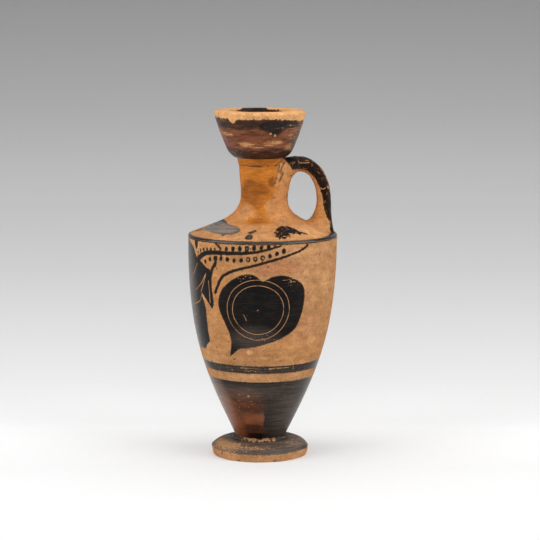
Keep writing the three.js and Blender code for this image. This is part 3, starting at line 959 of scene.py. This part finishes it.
def bare_clay(recipe, colours):
    """Fired clay: mottled, stained, ringed by the wheel and finely grained. Gives colour and height."""
    patches = recipe.noise(17, 3)
    stains = recipe.noise(3.2, 6, roughness=0.7)
    grain = recipe.noise(0.7, 4, roughness=0.6)
    rings = recipe.noise(1.3, 2, stretch=(0.04, 0.04, 1.0))
    colour = recipe.mix(recipe.span(patches, 0.36, 0.64), colours.clay, colours.pale_clay)
    blotches = recipe.span(recipe.noise(2.4, 5), 0.3, 0.65, 0.5, 1.0)
    traces = (("gold", colours.golden_clay), ("pink", colours.pink_clay), ("pale", colours.bright_clay))
    for field, over in traces:
        colour = recipe.mix(recipe.times(recipe.field(field), blotches), colour, over)
    colour = recipe.mix(recipe.span(stains, 0.46, 0.72, 0.0, 0.55), colour, colours.stained_clay)
    colour = recipe.shade(colour, recipe.span(grain, 0.25, 0.75, 0.83, 1.17))
    mottle = recipe.noise(2.6, 6, stretch=(0.45, 0.45, 1.0), roughness=0.75)
    colour = recipe.shade(colour, recipe.span(mottle, 0.28, 0.72, 0.8, 1.2))
    colour = recipe.shade(colour, recipe.span(rings, 0.25, 0.75, 0.95, 1.05))
    specks = recipe.specks(2.4, 0.22)
    colour = recipe.mix(recipe.times(specks, 0.6), colour, colours.thin_gloss)
    # Cracks and nicks are darkened here as painted shade in their hollows, and sunk into the bump.
    off = recipe.distance("crack")
    off = recipe.plus(off, recipe.times(recipe.sway(0.9, 4), 0.8))
    crack = recipe.span(off, 0.2, 0.6, 1.0, 0.0)
    colour = recipe.shade(colour, recipe.span(crack, 0.0, 1.0, 1.0, 0.4))
    height = recipe.plus(recipe.times(grain, 0.7), recipe.times(rings, 0.5))
    pits = recipe.plus(specks, recipe.times(crack, 3.0))
    return colour, recipe.minus(height, pits)


def gloss_slip(recipe, colours, depth, level, patchy):
    """Black gloss, browner where it is thin and red where it misfired. Level draws its marks out sideways."""
    thin = recipe.span(recipe.noise(5, 5, roughness=0.6), 0.45, 0.8, 0.0, 0.25)
    streaks = recipe.span(recipe.noise(0.9, 4, stretch=(0.12, 0.12, 1.0)), 0.45, 0.75, 0.0, 0.35)
    thin = recipe.most(thin, streaks, recipe.span(depth, 0.0, 0.9, 0.6, 0.0))
    colour = recipe.mix(thin, colours.gloss, colours.thin_gloss)
    kiln = recipe.noise(2.2, 6, stretch=(level, level, 1.4), roughness=0.65)
    kiln = recipe.span(kiln, 0.32, 0.66, patchy, 1.2)
    red = recipe.math("MINIMUM", recipe.times(recipe.field("red"), kiln), 1.0)
    colour = recipe.mix(red, colour, colours.misfired)
    # Dust and painted sheen grey the gloss, broken into fine level streaks.
    ridges = recipe.span(recipe.noise(0.5, 4, stretch=(0.05, 0.05, 1.0)), 0.3, 0.7, 0.42, 1.0)
    dust = recipe.times(recipe.field("dust"), ridges)
    colour = recipe.mix(dust, colour, colours.dusty_gloss)
    return recipe.shade(colour, recipe.span(recipe.noise(0.4, 2), 0.2, 0.8, 0.8, 1.2))


def painted(name, colours, wear, ragged, level=1.0, flake=1.0, drawn=0.2, soft=0.025, shed=0.26,
            patchy=0.5, strewn=(0.8, 0.7, 1.0), gleam=0.16, coat=None):
    """Clay with gloss, wash, incised lines and wear, each where the piece's fields put it.

    Level under one draws the kiln's marks out sideways, flake scales the lost specks of gloss, drawn under
    one draws those out sideways, soft is how gently they fade, and shed is how many of them wear takes.
    Patchy is how much red the kiln left in the palest places, and strewn is the size, amount and level of the
    fine specks. Gleam is the surface's own shine, and coat the index and roughness of a clear shine over the
    gloss, as strong as the piece's sheen field.
    """
    recipe = Recipe(name)
    clay, height = bare_clay(recipe, colours)
    clay = washed(recipe, colours, clay)
    wobble = recipe.sway(1.3, 4)
    depth = recipe.depth("gloss")
    depth = recipe.plus(depth, recipe.times(wobble, ragged))
    cover = recipe.span(depth, -0.16, 0.14)
    rubbed = recipe.plus(recipe.field("wear"), wear)
    streaks = recipe.noise(0.7 * flake, 5, stretch=(drawn, drawn, 1.0))
    flakes = recipe.blend(0.35, streaks, recipe.noise(0.9 * flake, 5, roughness=0.65))
    threshold = recipe.minus(0.74, recipe.times(rubbed, shed))
    lost = recipe.span(recipe.minus(flakes, threshold), -soft, soft)
    size, amount, flat = strewn
    pinholes = recipe.specks(size, recipe.times(rubbed, amount), (flat, flat, 1.0))
    bared = recipe.most(lost, pinholes, scratched_lines(recipe))
    cover = recipe.times(cover, recipe.minus(1.0, bared))
    slip = gloss_slip(recipe, colours, depth, level, patchy)
    under = recipe.mix(recipe.times(bared, 0.3), clay, colours.cream)
    recipe.give("Base Color", recipe.mix(cover, under, slip))
    slip_roughness = recipe.span(recipe.noise(2.2, 5), 0.3, 0.7, 0.3, 0.5)
    clay_roughness = recipe.span(recipe.noise(1.5, 3), 0.3, 0.7, 0.7, 0.88)
    recipe.give("Roughness", recipe.blend(cover, clay_roughness, slip_roughness))
    recipe.give("Specular IOR Level", gleam)
    if coat:
        recipe.give("Coat Weight", recipe.times(recipe.field("sheen"), cover))
        recipe.give("Coat IOR", coat[0])
        recipe.give("Coat Roughness", coat[1])
    soft_height = recipe.times(height, recipe.span(cover, 0, 1, 1.0, 0.5))
    bump = recipe.add("ShaderNodeBump")
    bump.inputs["Strength"].default_value = 0.5
    bump.inputs["Distance"].default_value = 0.12 * MM
    recipe.feed(bump.inputs["Height"], recipe.plus(soft_height, recipe.times(cover, 0.35)))
    recipe.give("Normal", bump.outputs[0])
    return recipe.material


def washed(recipe, colours, clay):
    """Ochre wash over the clay, with its smears and the broken dark line under the collar, which is painted
    shadow.
    """
    wobble = recipe.sway(2.6, 6, stretch=(0.35, 0.35, 1.1), tilt=-0.5)
    depth = recipe.depth("wash")
    cover = recipe.span(recipe.plus(depth, recipe.times(wobble, 11.0)), -1.0, 0.8)
    pools = recipe.noise(4.0, 6, stretch=(0.4, 0.4, 0.8), roughness=0.6, tilt=-0.6)
    thick = recipe.span(recipe.plus(pools, recipe.times(recipe.field("smear"), 0.42)), 0.5, 0.95)
    wash = recipe.mix(thick, colours.ochre, colours.dark_ochre)
    strokes = recipe.noise(0.9, 5, stretch=(0.2, 0.2, 1.0), roughness=0.6, tilt=-0.5)
    wash = recipe.shade(wash, recipe.span(strokes, 0.25, 0.75, 0.7, 1.32))
    wash = recipe.shade(wash, recipe.span(recipe.noise(0.6, 4), 0.2, 0.8, 0.88, 1.12))
    gaps = recipe.span(recipe.noise(2.6, 3), 0.4, 0.5)
    line = recipe.times(recipe.span(recipe.field("line"), 0.82, 0.9), gaps)
    wash = recipe.mix(recipe.times(line, 0.85), wash, colours.thin_gloss)
    body = recipe.span(recipe.plus(strokes, recipe.field("wash")), 0.9, 1.4, 0.45, 0.95)
    return recipe.mix(recipe.times(cover, body), clay, wash)


def scratched_lines(recipe):
    """Lines incised through the gloss: the rings and dot of the eye, and the folds of the mantle."""
    eye = recipe.distance("eye", EYE_REACH)
    wobble = recipe.times(recipe.sway(9, 2), 0.35)
    eye = recipe.plus(eye, wobble)
    lines = recipe.span(eye, 0.2, 0.4, 1.0, 0.0)
    for radius in EYE_RINGS:
        off = recipe.math("ABSOLUTE", recipe.minus(eye, radius))
        lines = recipe.most(lines, recipe.span(off, 0.04, 0.2, 1.0, 0.0))
    off = recipe.distance("cut")
    lines = recipe.most(lines, recipe.span(off, 0.08, 0.28, 1.0, 0.0))
    lines = recipe.most(lines, recipe.times(recipe.field("crazed"), recipe.crazing(2.4)))
    fade = recipe.span(recipe.noise(2.2, 4), 0.34, 0.5, 0.4, 1.0)
    return recipe.times(lines, fade)


# Pieces


class FLASK_OT_foot(bpy.types.Operator):
    """Turn the foot disc, wear its gloss and chip its edge"""

    bl_idname = "flask.foot"
    bl_label = "Foot"

    def execute(self, context):
        sizes, colours = context.scene.flask_sizes, context.scene.flask_colours
        radius, edge = sizes.foot_radius / MM, sizes.foot_edge / MM
        hollow, stand, crown, seat_radius, toe = 2.2, 14.0, 14.5, 12.4, radius - 0.5
        outline = Outline(0, hollow).to((stand, 0), 8).to((toe - 0.6, 0), 6)
        outline.round((toe - 0.1, 0), (toe, 0.6), 4).to((radius, edge - 0.3), 8)
        outline.round((radius, edge + 0.2), (radius - 0.25, edge + 0.5), 4)
        outline.round((radius - 1.6, FOOT_TOP - 0.9), (crown, FOOT_TOP), 26)
        outline.round((13.2, FOOT_TOP), (seat_radius, FOOT_SEAT), 6).to((0, FOOT_SEAT), 3)
        foot = turn("foot_disc", outline, 360)
        paint_foot(foot)
        _, height, reached, _ = places(foot)
        chip(foot, 4.2, 0.5, np.clip((reached / radius - 0.94) / 0.06, 0, 1) * (height > 0.3))
        material = painted("foot_clay", colours, 0.1, 1.5, flake=0.55, drawn=0.9, soft=0.04, shed=0.25,
                           strewn=(0.6, 0.8, 0.6))
        settle(foot, "foot", material, 14, 0.15)
        return {"FINISHED"}


class FLASK_OT_body(bpy.types.Operator):
    """Turn the tapering body and paint its scene"""

    bl_idname = "flask.body"
    bl_label = "Body"

    def execute(self, context):
        sizes, colours = context.scene.flask_sizes, context.scene.flask_colours
        radius, wall = sizes.body_radius / MM, sizes.wall / MM
        base, floor, lip, lip_width = 10.4, BODY_BOTTOM + 5.5, 0.45, 0.9
        side = swell((base, BODY_BOTTOM), (23.86, 35.3), (radius, 51.4), (radius, BODY_TOP), 1)
        paint_start = 0.49
        outline = Outline(0, BODY_BOTTOM).to((base, BODY_BOTTOM), 2)
        outline.add(stroke_part(side, 0, paint_start, 28), stroke_part(side, paint_start, 1, 120))
        outline.to((radius, BODY_TOP + lip)).to((radius - lip_width, BODY_TOP + lip))
        outline.to((radius - lip_width, BODY_TOP)).to((radius - wall, BODY_TOP))
        outline.add(swell(outline.place, (radius - wall, 52), (20, 37), (base - 3, floor), 9)).to((0, floor))
        body = turn("painted_body", outline, 560)
        paint_body(body)
        material = painted("body_clay", colours, 0.14, 0.8, level=0.3, flake=0.45, drawn=0.08, shed=0.22,
                           patchy=0.6, strewn=(0.5, 0.6, 0.5), gleam=0.03, coat=(1.16, 0.3))
        settle(body, "body", material, 26, 0.1)
        return {"FINISHED"}


class FLASK_OT_shoulder(bpy.types.Operator):
    """Turn the sloping shoulder and paint its ornaments"""

    bl_idname = "flask.shoulder"
    bl_label = "Shoulder"

    def execute(self, context):
        sizes, colours = context.scene.flask_sizes, context.scene.flask_colours
        radius, socket, under = sizes.body_radius / MM, SOCKET_RADIUS, 20
        seam = stroke_part(flare(sizes), 0, NECK_SEAT, 22)
        slope = (CONE_TOP[1] - SHOULDER_EDGE) / (radius - CONE_TOP[0])
        outline = Outline(under, SHOULDER_BOTTOM).to((radius - 0.15, SHOULDER_BOTTOM), 6)
        outline.to((radius, SHOULDER_BOTTOM + 0.2))
        outline.round((radius, SHOULDER_EDGE + 0.05), (radius - 0.6, SHOULDER_EDGE + 0.6 * slope), 5)
        outline.to(CONE_TOP, 32).add(seam).to((socket, seam[3][1]), 2).to((socket, 100.5))
        outline.round((10, 98.5), (under, SHOULDER_BOTTOM), 6)
        shoulder = turn("painted_shoulder", outline, 480)
        paint_shoulder(shoulder)
        material = painted("shoulder_clay", colours, 0.2, 1.3, coat=(1.5, 0.16))
        settle(shoulder, "shoulder", material, 20, 0.1)
        return {"FINISHED"}


class FLASK_OT_neck(bpy.types.Operator):
    """Turn the neck with its bore and lay the ochre wash on it"""

    bl_idname = "flask.neck"
    bl_label = "Neck"

    def execute(self, context):
        sizes, colours = context.scene.flask_sizes, context.scene.flask_colours
        waist, bore, tenon = sizes.waist_radius / MM, sizes.bore / MM, TENON_RADIUS
        seam = stroke_part(flare(sizes), NECK_SEAT, 1, 40)
        inset, seat = seam[0][0] - 1, seam[0][1] + 0.03
        outline = Outline(bore, TENON_BOTTOM).to((tenon, TENON_BOTTOM)).to((tenon, seat + SLIP_FILM), 2)
        outline.to((inset, seat + SLIP_FILM)).to((inset, seat)).to(seam[0]).add(seam)
        outline.round((waist, NECK_BEND), (NECK_TOP_RADIUS, COLLAR_BOTTOM), 26)
        outline.to((tenon, COLLAR_BOTTOM + 1), 2).to((tenon, TENON_TOP), 4).to((bore, TENON_TOP), 2)
        outline.to((bore, TENON_BOTTOM), 12)
        neck = turn("washed_neck", outline, 260)
        raise_ridges(neck, LUTING_RIDGES, 0.6, 0.6)
        paint_wash(neck)
        _, height, radius, _ = places(neck)
        bored = (radius < BORE_LIMIT) & (height > COLLAR_TOP)
        write_fields(neck, gloss=stored_depth(np.where(bored, 2.0, FAR)))
        settle(neck, "neck", painted("neck_wash", colours, 0.1, 0.5), 9, 0.16)
        return {"FINISHED"}


class FLASK_OT_mouth(bpy.types.Operator):
    """Turn the cup-shaped mouth with its flat rim and funnel"""

    bl_idname = "flask.mouth"
    bl_label = "Mouth"

    def execute(self, context):
        sizes, colours = context.scene.flask_sizes, context.scene.flask_colours
        radius, socket, lip = sizes.mouth_radius / MM, SOCKET_RADIUS, 1.4
        inner = radius - sizes.rim_width / MM
        base, curl, bulge = (10.3, MOUTH_BOTTOM), (14.9, 135.0), (17.97, 142.0)
        outline = Outline(socket, MOUTH_BOTTOM).to(base, 3).round((13.5, 130.8), curl, 18)
        outline.round(bulge, (radius, MOUTH_TOP - lip), 42)
        outline.round((radius + 0.2, MOUTH_TOP), (radius - lip, MOUTH_TOP), 8)
        outline.to((inner + 0.6, MOUTH_TOP), 14)
        outline.round((inner, MOUTH_TOP), (inner - 0.05, MOUTH_TOP - 0.7), 4)
        outline.round((11.5, 135.8), (socket, TENON_TOP), 26).to((socket, MOUTH_BOTTOM), 2)
        mouth = turn("cup_mouth", outline, 400)
        paint_mouth(mouth)
        _, height, reached, _ = places(mouth)
        outer = np.clip((reached / radius - 0.92) / 0.08, 0, 1)
        chip(mouth, 3.4, 0.3, outer * np.clip((height - 147.6) / 1.6, 0, 1))
        material = painted("mouth_gloss", colours, 0.22, 2.6, level=0.3, flake=0.8, drawn=0.12, soft=0.12,
                           patchy=0.35, strewn=(0.6, 0.4, 0.4))
        settle(mouth, "mouth", material, 8, 0.12)
        return {"FINISHED"}


class FLASK_OT_luting(bpy.types.Operator):
    """Turn the rings of soft clay that hold the thrown pieces together"""

    bl_idname = "flask.luting"
    bl_label = "Luting rings"

    def execute(self, context):
        sizes, colours = context.scene.flask_sizes, context.scene.flask_colours
        body, edge = sizes.body_radius / MM, NECK_TOP_RADIUS - 0.05
        seam = stroke_part(flare(sizes), NECK_SEAT, 1, 1)[0]
        outline = Outline(0, FOOT_SEAT).to((12.2, FOOT_SEAT), 3)
        outline.round((12.5, FOOT_SEAT + 1.0), (11.5, FOOT_SEAT + 1.2), 8).to((10.8, FOOT_SEAT + 1.5), 3)
        bead = turn("foot_bead", outline.to((10.2, BODY_BOTTOM)).to((0, BODY_BOTTOM), 2), 300)
        outline = Outline(SOCKET_RADIUS, COLLAR_BOTTOM).to((edge, COLLAR_BOTTOM - 0.1))
        outline.round((9.75, 127.2), (9.7, 128.4), 10).round((9.7, 129.1), (10.2, COLLAR_TOP + 0.1), 6)
        outline.to((SOCKET_RADIUS, COLLAR_TOP)).to((SOCKET_RADIUS, COLLAR_BOTTOM))
        collar = turn("neck_collar", outline, 260)
        shoulder_film = self.film("shoulder_film", 28.4, body - 1.1, BODY_TOP, SHOULDER_BOTTOM)
        neck_film = self.film("neck_film", TENON_RADIUS + 0.1, seam[0] - 1.2, seam[1], seam[1] + SLIP_FILM)
        films = [
            ("foot_luting", bead, "clay"), ("mouth_luting", collar, "ochre_wash"),
            ("shoulder_luting", shoulder_film, "clay"), ("neck_luting", neck_film, "clay")]
        material = painted("luting_clay", colours, 0.1, 3.0, flake=0.6, drawn=0.7)
        paint_bead(bead)
        for node, piece, slot in films:
            if piece is not bead:
                paint_wash(piece)
            settle(piece, node, material, 2.4, 0.3 if piece is bead else 0.05)
        return {"FINISHED"}

    def film(self, name, inner, outer, bottom, top):
        """A thin ring of slip with a rounded outer edge."""
        half, square = (bottom + top) / 2, outer - 0.25
        outline = Outline(inner, bottom).to((square, bottom), 4).round((outer, bottom), (outer, half), 3)
        outline.round((outer, top), (square, top), 3).to((inner, top), 4).to((inner, bottom))
        return turn(name, outline, 240)


# The handle's middle line, from inside the neck over the top and down into the shoulder

HANDLE_RISE = swell((7.35, 123.5), (16.84, 130.0), (26.1, 127.0), (26.1, 113.0), 1)
HANDLE_FALL = swell((26.1, 113.0), (26.1, 107.0), (26.1, 102.6), (27.2, 96.6), 1)
STRAP_POWER = 2.6
STRAP_AROUND = 64
FILLET_RINGS = 28
NECK_SINK, SHOULDER_SINK = 0.12, 0.3   # how deep the pressed clay runs into the wall


def handle_route():
    """The handle's middle line in short even steps, the way out from it, and its length."""
    rough = np.vstack([stroke_points(HANDLE_RISE, 200), stroke_points(HANDLE_FALL, 120)[1:]])
    length = np.concatenate([[0], np.cumsum(np.hypot(*np.diff(rough, axis=0).T))])
    along = np.linspace(0, length[-1], 400)
    line = np.column_stack([np.interp(along, length, rough[:, 0]), np.interp(along, length, rough[:, 1])])
    heading = np.gradient(line, axis=0)
    heading /= np.hypot(*heading.T)[:, None]
    return line, np.column_stack([-heading[:, 1], heading[:, 0]]), along


def strap_section():
    """A flattened oval: places across the strap's width and through its thickness, from minus one to one."""
    turns = np.arange(STRAP_AROUND) / STRAP_AROUND * math.tau
    power = 2 / STRAP_POWER
    across = np.sign(np.cos(turns)) * np.abs(np.cos(turns)) ** power
    through = np.sign(np.sin(turns)) * np.abs(np.sin(turns)) ** power
    return across, through


def strap_surface(line, outward, half_width, half):
    """The strap's surface: a ring of points round each place on its middle line."""
    across, through = strap_section()
    push = through * half
    sideways = np.tile(across * half_width, (len(line), 1))
    reached = line[:, :1] + push * outward[:, :1]
    raised = line[:, 1:] + push * outward[:, 1:]
    return np.stack([reached, sideways, raised], axis=2)


class Fillet:
    """Soft clay pressed round a strap's end: its length on the strap and its spread along the wall."""

    def __init__(self, length, inner, outer, side, thinning):
        self.length, self.inner, self.outer, self.side, self.thinning = length, inner, outer, side, thinning

    def rings(self, surface, normal, touch, way, wall, spacing):
        """Rings from the lip on the strap to the wall, and how far along the strap each point lies."""
        across, through = strap_section()
        spread = through * np.where(through > 0, self.outer, self.inner)
        push = np.column_stack([normal[:, 0] * spread, across * self.side, normal[:, 1] * spread])
        proud = np.column_stack([normal[:, 0] * through, across, normal[:, 1] * through]) * 0.04
        around = np.arange(STRAP_AROUND)
        rings, lengths = [], []
        for angle in np.linspace(math.pi / 2, 0, FILLET_RINGS):
            place = touch + way * self.length * (1 - math.cos(angle)) / spacing
            low = np.clip(np.floor(place).astype(int), 0, len(surface) - 2)
            part = (place - low)[:, None]
            ring = surface[low, around] * (1 - part) + surface[low + 1, around] * part
            ring = ring + push * (1 - math.sin(angle)) ** self.thinning + proud
            pull = 1 - (1 - (1 - angle / (math.pi / 2)) ** 6) ** 2
            rings.append(ring + (wall(ring) - ring) * pull)
            lengths.append(place * spacing)
        return np.array(rings), np.array(lengths)


class FLASK_OT_handle(bpy.types.Operator):
    """Bend the strap handle and press its two ends on with soft clay"""

    bl_idname = "flask.handle"
    bl_label = "Handle"

    def execute(self, context):
        sizes, colours = context.scene.flask_sizes, context.scene.flask_colours
        line, outward, along = handle_route()
        half_width, half = sizes.strap_width / 2 / MM, sizes.strap_thickness / 2 / MM
        surface = strap_surface(line, outward, half_width, half)
        material = painted("handle_gloss", colours, 0.16, 1.4, flake=0.6, drawn=0.8, strewn=(0.6, 0.9, 1.0),
                           gleam=0.05)
        piece, ring, around = roll_tube("strap_handle", surface[::3])
        across, through = strap_section()
        self.paint(piece, along[::3][ring], across[around], through[around] * half)
        write_fields(piece, gold=0.7)
        settle(piece, "handle", material, 5.0, 0.14, sharp=60)

        def neck_wall(ring):
            """The ring moved level onto the neck, and a little into it."""
            moved = ring.copy()
            squared = neck_radius(sizes, ring[:, 2]) ** 2 - ring[:, 1] ** 2
            moved[:, 0] = np.sqrt(np.maximum(squared, 1.0)) - NECK_SINK
            return moved

        def shoulder_wall(ring):
            """The ring moved down onto the shoulder, and a little into it."""
            moved = ring.copy()
            moved[:, 2] = shoulder_height(sizes, np.hypot(ring[:, 0], ring[:, 1])) - SHOULDER_SINK
            return moved

        flat = np.hypot(surface[:, :, 0], surface[:, :, 1])
        clear_of_neck = flat > neck_radius(sizes, surface[:, :, 2])
        clear_of_shoulder = surface[:, :, 2] > shoulder_height(sizes, flat)
        top_touch = np.argmax(clear_of_neck, axis=0)
        root_touch = len(line) - 1 - np.argmax(clear_of_shoulder[::-1], axis=0)
        down_neck = np.tile((-0.14, 1.0), (STRAP_AROUND, 1))
        down_shoulder = np.tile((0.93, -0.37), (STRAP_AROUND, 1))
        spacing = along[1]
        top = Fillet(10.5, 15.0, 1.6, 2.6, 1.1).rings(surface, down_neck, top_touch, 1, neck_wall, spacing)
        root = Fillet(11.5, 7.5, 1.3, 3.2, 1.0).rings(
            surface, down_shoulder, root_touch, -1, shoulder_wall, spacing)
        smeared = painted("smeared_clay", colours, 0.1, 1.0)
        self.luting("handle_top_smear", "handle_top_luting", top, half, 1.8, 0.3, smeared)
        self.luting("handle_root_fillet", "handle_root_luting", root, half, 4.0, 0.1, material)
        return {"FINISHED"}

    def luting(self, name, node, fillet, half, lumps, depth, material):
        """One end's soft clay, rolled through its rings and painted with the strap."""
        rings, lengths = fillet
        piece, ring, around = roll_tube(name, rings)
        raise_ridges(piece, LUTING_RIDGES, 0.6, 0.6)
        paint_wash(piece)
        across, through = strap_section()
        self.paint(piece, lengths[ring, around], across[around], through[around] * half)
        settle(piece, node, material, lumps, depth, sharp=60)

    def paint(self, piece, along, across, through):
        """The black runs along the outer side of the strap and narrows towards its root."""
        edge = np.interp(along, (5, 10, 18, 24, 33, 36.6, 39, 41),
                         (-1.2, -1.9, -1.85, -1.3, -0.25, 0.8, 1.9, 1.8))
        start = np.interp(through, (-2, 3), (7.0, 5.0))
        corners = np.where(through > 2.6, np.clip((np.abs(across) - 0.3) / 0.3, 0.1, 1), 1)
        write_fields(
            piece, gloss=stored_depth(np.minimum(through - edge, along - start)),
            wear=smudges(along, through, STRAP_WORN) * corners, red=0.06, crazed=0.75,
            cut=stored_distance(line_distance(along, through, STRAP_SCRATCHES)))


# Stage

CAMERA_PLACE = (3.176, -950, 213)
CAMERA_TILT = 7.931      # degrees down from level
CAMERA_LENS = 147.55
SWEEP_START, SWEEP_LENGTH = -0.1, 2.0
# Painted shade on the sweep, each grey at its distance back along the sheet: darker going back and up as the
# light falls off, lightest just behind the foot to lift its shadow, and darker in front as a painted shadow
SWEEP_PAINTED_SHADING = (
    (-0.03, 0.87), (0.0, 0.93), (0.025, 0.97), (0.05, 0.95), (0.068, 0.9), (0.115, 0.84), (0.17, 0.79),
    (0.29, 0.75), (0.44, 0.715), (0.6, 0.69), (0.8, 0.695), (1.03, 0.715), (1.18, 0.64), (1.38, 0.51),
    (1.67, 0.365))


class FLASK_OT_stage(bpy.types.Operator):
    """Lay the pale floor and its sweep, set the lights and the camera"""

    bl_idname = "flask.stage"
    bl_label = "Stage"

    def execute(self, context):
        self.sweep()
        self.lights(context)
        self.camera(context)
        return {"FINISHED"}

    def sweep(self):
        """A pale floor that rises into a grey backdrop, each painted shade at its own place on the sheet."""
        start_clean()
        bpy.ops.mesh.primitive_plane_add(size=1)
        floor = bpy.context.object
        floor.name = "floor_sweep"
        floor.data.name = "floor_sweep"
        for vertex in floor.data.vertices:
            vertex.co = (math.copysign(4.0, vertex.co.x), 1.0 if vertex.co.y > 0 else -3.0, 0.0)
        for edge in floor.data.edges:
            edge.select = all(floor.data.vertices[index].co.y > 0.9 for index in edge.vertices)
        for part in (*floor.data.vertices, *floor.data.polygons):
            part.select = False
        bpy.ops.object.mode_set(mode="EDIT")
        bpy.ops.mesh.select_mode(type="EDGE")
        bend_steps, bend_radius = 16, 0.8
        for index in range(bend_steps):
            turn_angle = (index + 0.5) / bend_steps * math.pi / 2
            length = bend_radius * math.pi / 2 / bend_steps
            step = (0, math.cos(turn_angle) * length, math.sin(turn_angle) * length)
            bpy.ops.mesh.extrude_region_move(TRANSFORM_OT_translate={"value": step})
        bpy.ops.mesh.extrude_region_move(TRANSFORM_OT_translate={"value": (0, 0, 2.0)})
        bpy.ops.mesh.select_mode(type="VERT")
        bpy.ops.mesh.select_all(action="SELECT")
        bpy.ops.mesh.normals_make_consistent(inside=False)
        bpy.ops.object.mode_set(mode="OBJECT")
        bpy.ops.object.shade_smooth()
        floor.data.materials.append(self.paper())

    def paper(self):
        """Smooth paper whose greys are painted shade: white in front and darkening as it runs back and up the
        way the light falls off, lighter round the foot against its shadow and darker just in front of it as a
        painted shadow.
        """
        recipe = Recipe("sweep_paper")
        parts = recipe.add("ShaderNodeSeparateXYZ")
        recipe.feed(parts.inputs[0], recipe.place)
        ramp = recipe.add("ShaderNodeValToRGB")
        distance = recipe.plus(parts.outputs["Y"], parts.outputs["Z"])
        along = recipe.minus(distance, SWEEP_START)
        recipe.feed(ramp.inputs[0], recipe.math("DIVIDE", along, SWEEP_LENGTH))
        stops = ramp.color_ramp.elements
        while len(stops) < len(SWEEP_PAINTED_SHADING):
            stops.new(0.5)
        for stop, (place, shade) in zip(stops, SWEEP_PAINTED_SHADING):
            stop.position = (place - SWEEP_START) / SWEEP_LENGTH
            stop.color = (shade, shade, shade, 1)
        grain = recipe.span(recipe.noise(3, 2), 0.2, 0.8, 0.99, 1.01)
        recipe.give("Base Color", recipe.shade(ramp.outputs[0], grain))
        recipe.give("Roughness", 0.9)
        recipe.give("Specular IOR Level", 0.1)
        return recipe.material

    def lights(self, context):
        """A white tent of soft light: overhead, left, right and in front."""
        world = bpy.data.worlds.new("tent")
        context.scene.world = world
        world.use_nodes = True
        world.node_tree.nodes["Background"].inputs["Color"].default_value = (1, 1, 1, 1)
        world.node_tree.nodes["Background"].inputs["Strength"].default_value = 0.3
        boxes = (
            ("overhead", (0.0, -0.15, 1.6), 2.5, 20.5), ("left", (-1.1, -0.45, 0.7), 1.1, 8.2),
            ("right", (1.1, -0.45, 0.7), 1.1, 8.2), ("front", (0.0, -1.5, 1.0), 1.0, 3.6))
        for name, place, size, power in boxes:
            bpy.ops.object.light_add(type="AREA", location=place)
            lamp = context.object
            lamp.name = name
            lamp.data.size = size
            lamp.data.energy = power
            towards = -lamp.location
            towards.z += 0.08
            lamp.rotation_euler = towards.to_track_quat("-Z", "Y").to_euler()

    def camera(self, context):
        """A long lens a little above the mouth, looking slightly down."""
        place = tuple(part * MM for part in CAMERA_PLACE)
        pitch = math.radians(90 - CAMERA_TILT)
        bpy.ops.object.camera_add(location=place, rotation=(pitch, 0, 0))
        camera = context.object
        camera.data.lens = CAMERA_LENS
        camera.data.sensor_width = 36.0
        camera.data.dof.use_dof = False
        context.scene.camera = camera
        context.scene.view_settings.view_transform = "Standard"


class FLASK_PT_panel(bpy.types.Panel):
    """The flask's sizes, colours and making, in order"""

    bl_idname = "FLASK_PT_panel"
    bl_label = "Painted Oil Flask"
    bl_space_type = "VIEW_3D"
    bl_region_type = "UI"
    bl_category = "Oil Flask"

    def draw(self, context):
        for group in (context.scene.flask_sizes, context.scene.flask_colours):
            for key in group.__annotations__:
                self.layout.prop(group, key)
        for maker in MAKERS:
            self.layout.operator(maker.bl_idname)


MAKERS = (FLASK_OT_foot, FLASK_OT_body, FLASK_OT_shoulder, FLASK_OT_neck, FLASK_OT_mouth, FLASK_OT_luting,
          FLASK_OT_handle, FLASK_OT_stage)
CLASSES = (FlaskSizes, FlaskColours, *MAKERS, FLASK_PT_panel)


def register():
    for kind in CLASSES:
        bpy.utils.register_class(kind)
    bpy.types.Scene.flask_sizes = bpy.props.PointerProperty(type=FlaskSizes)
    bpy.types.Scene.flask_colours = bpy.props.PointerProperty(type=FlaskColours)


def unregister():
    del bpy.types.Scene.flask_colours
    del bpy.types.Scene.flask_sizes
    for kind in reversed(CLASSES):
        bpy.utils.unregister_class(kind)


def main():
    register()
    bpy.ops.flask.foot()
    bpy.ops.flask.body()
    bpy.ops.flask.shoulder()
    bpy.ops.flask.neck()
    bpy.ops.flask.mouth()
    bpy.ops.flask.luting()
    bpy.ops.flask.handle()
    bpy.ops.flask.stage()


if __name__ == "__main__":
    main()
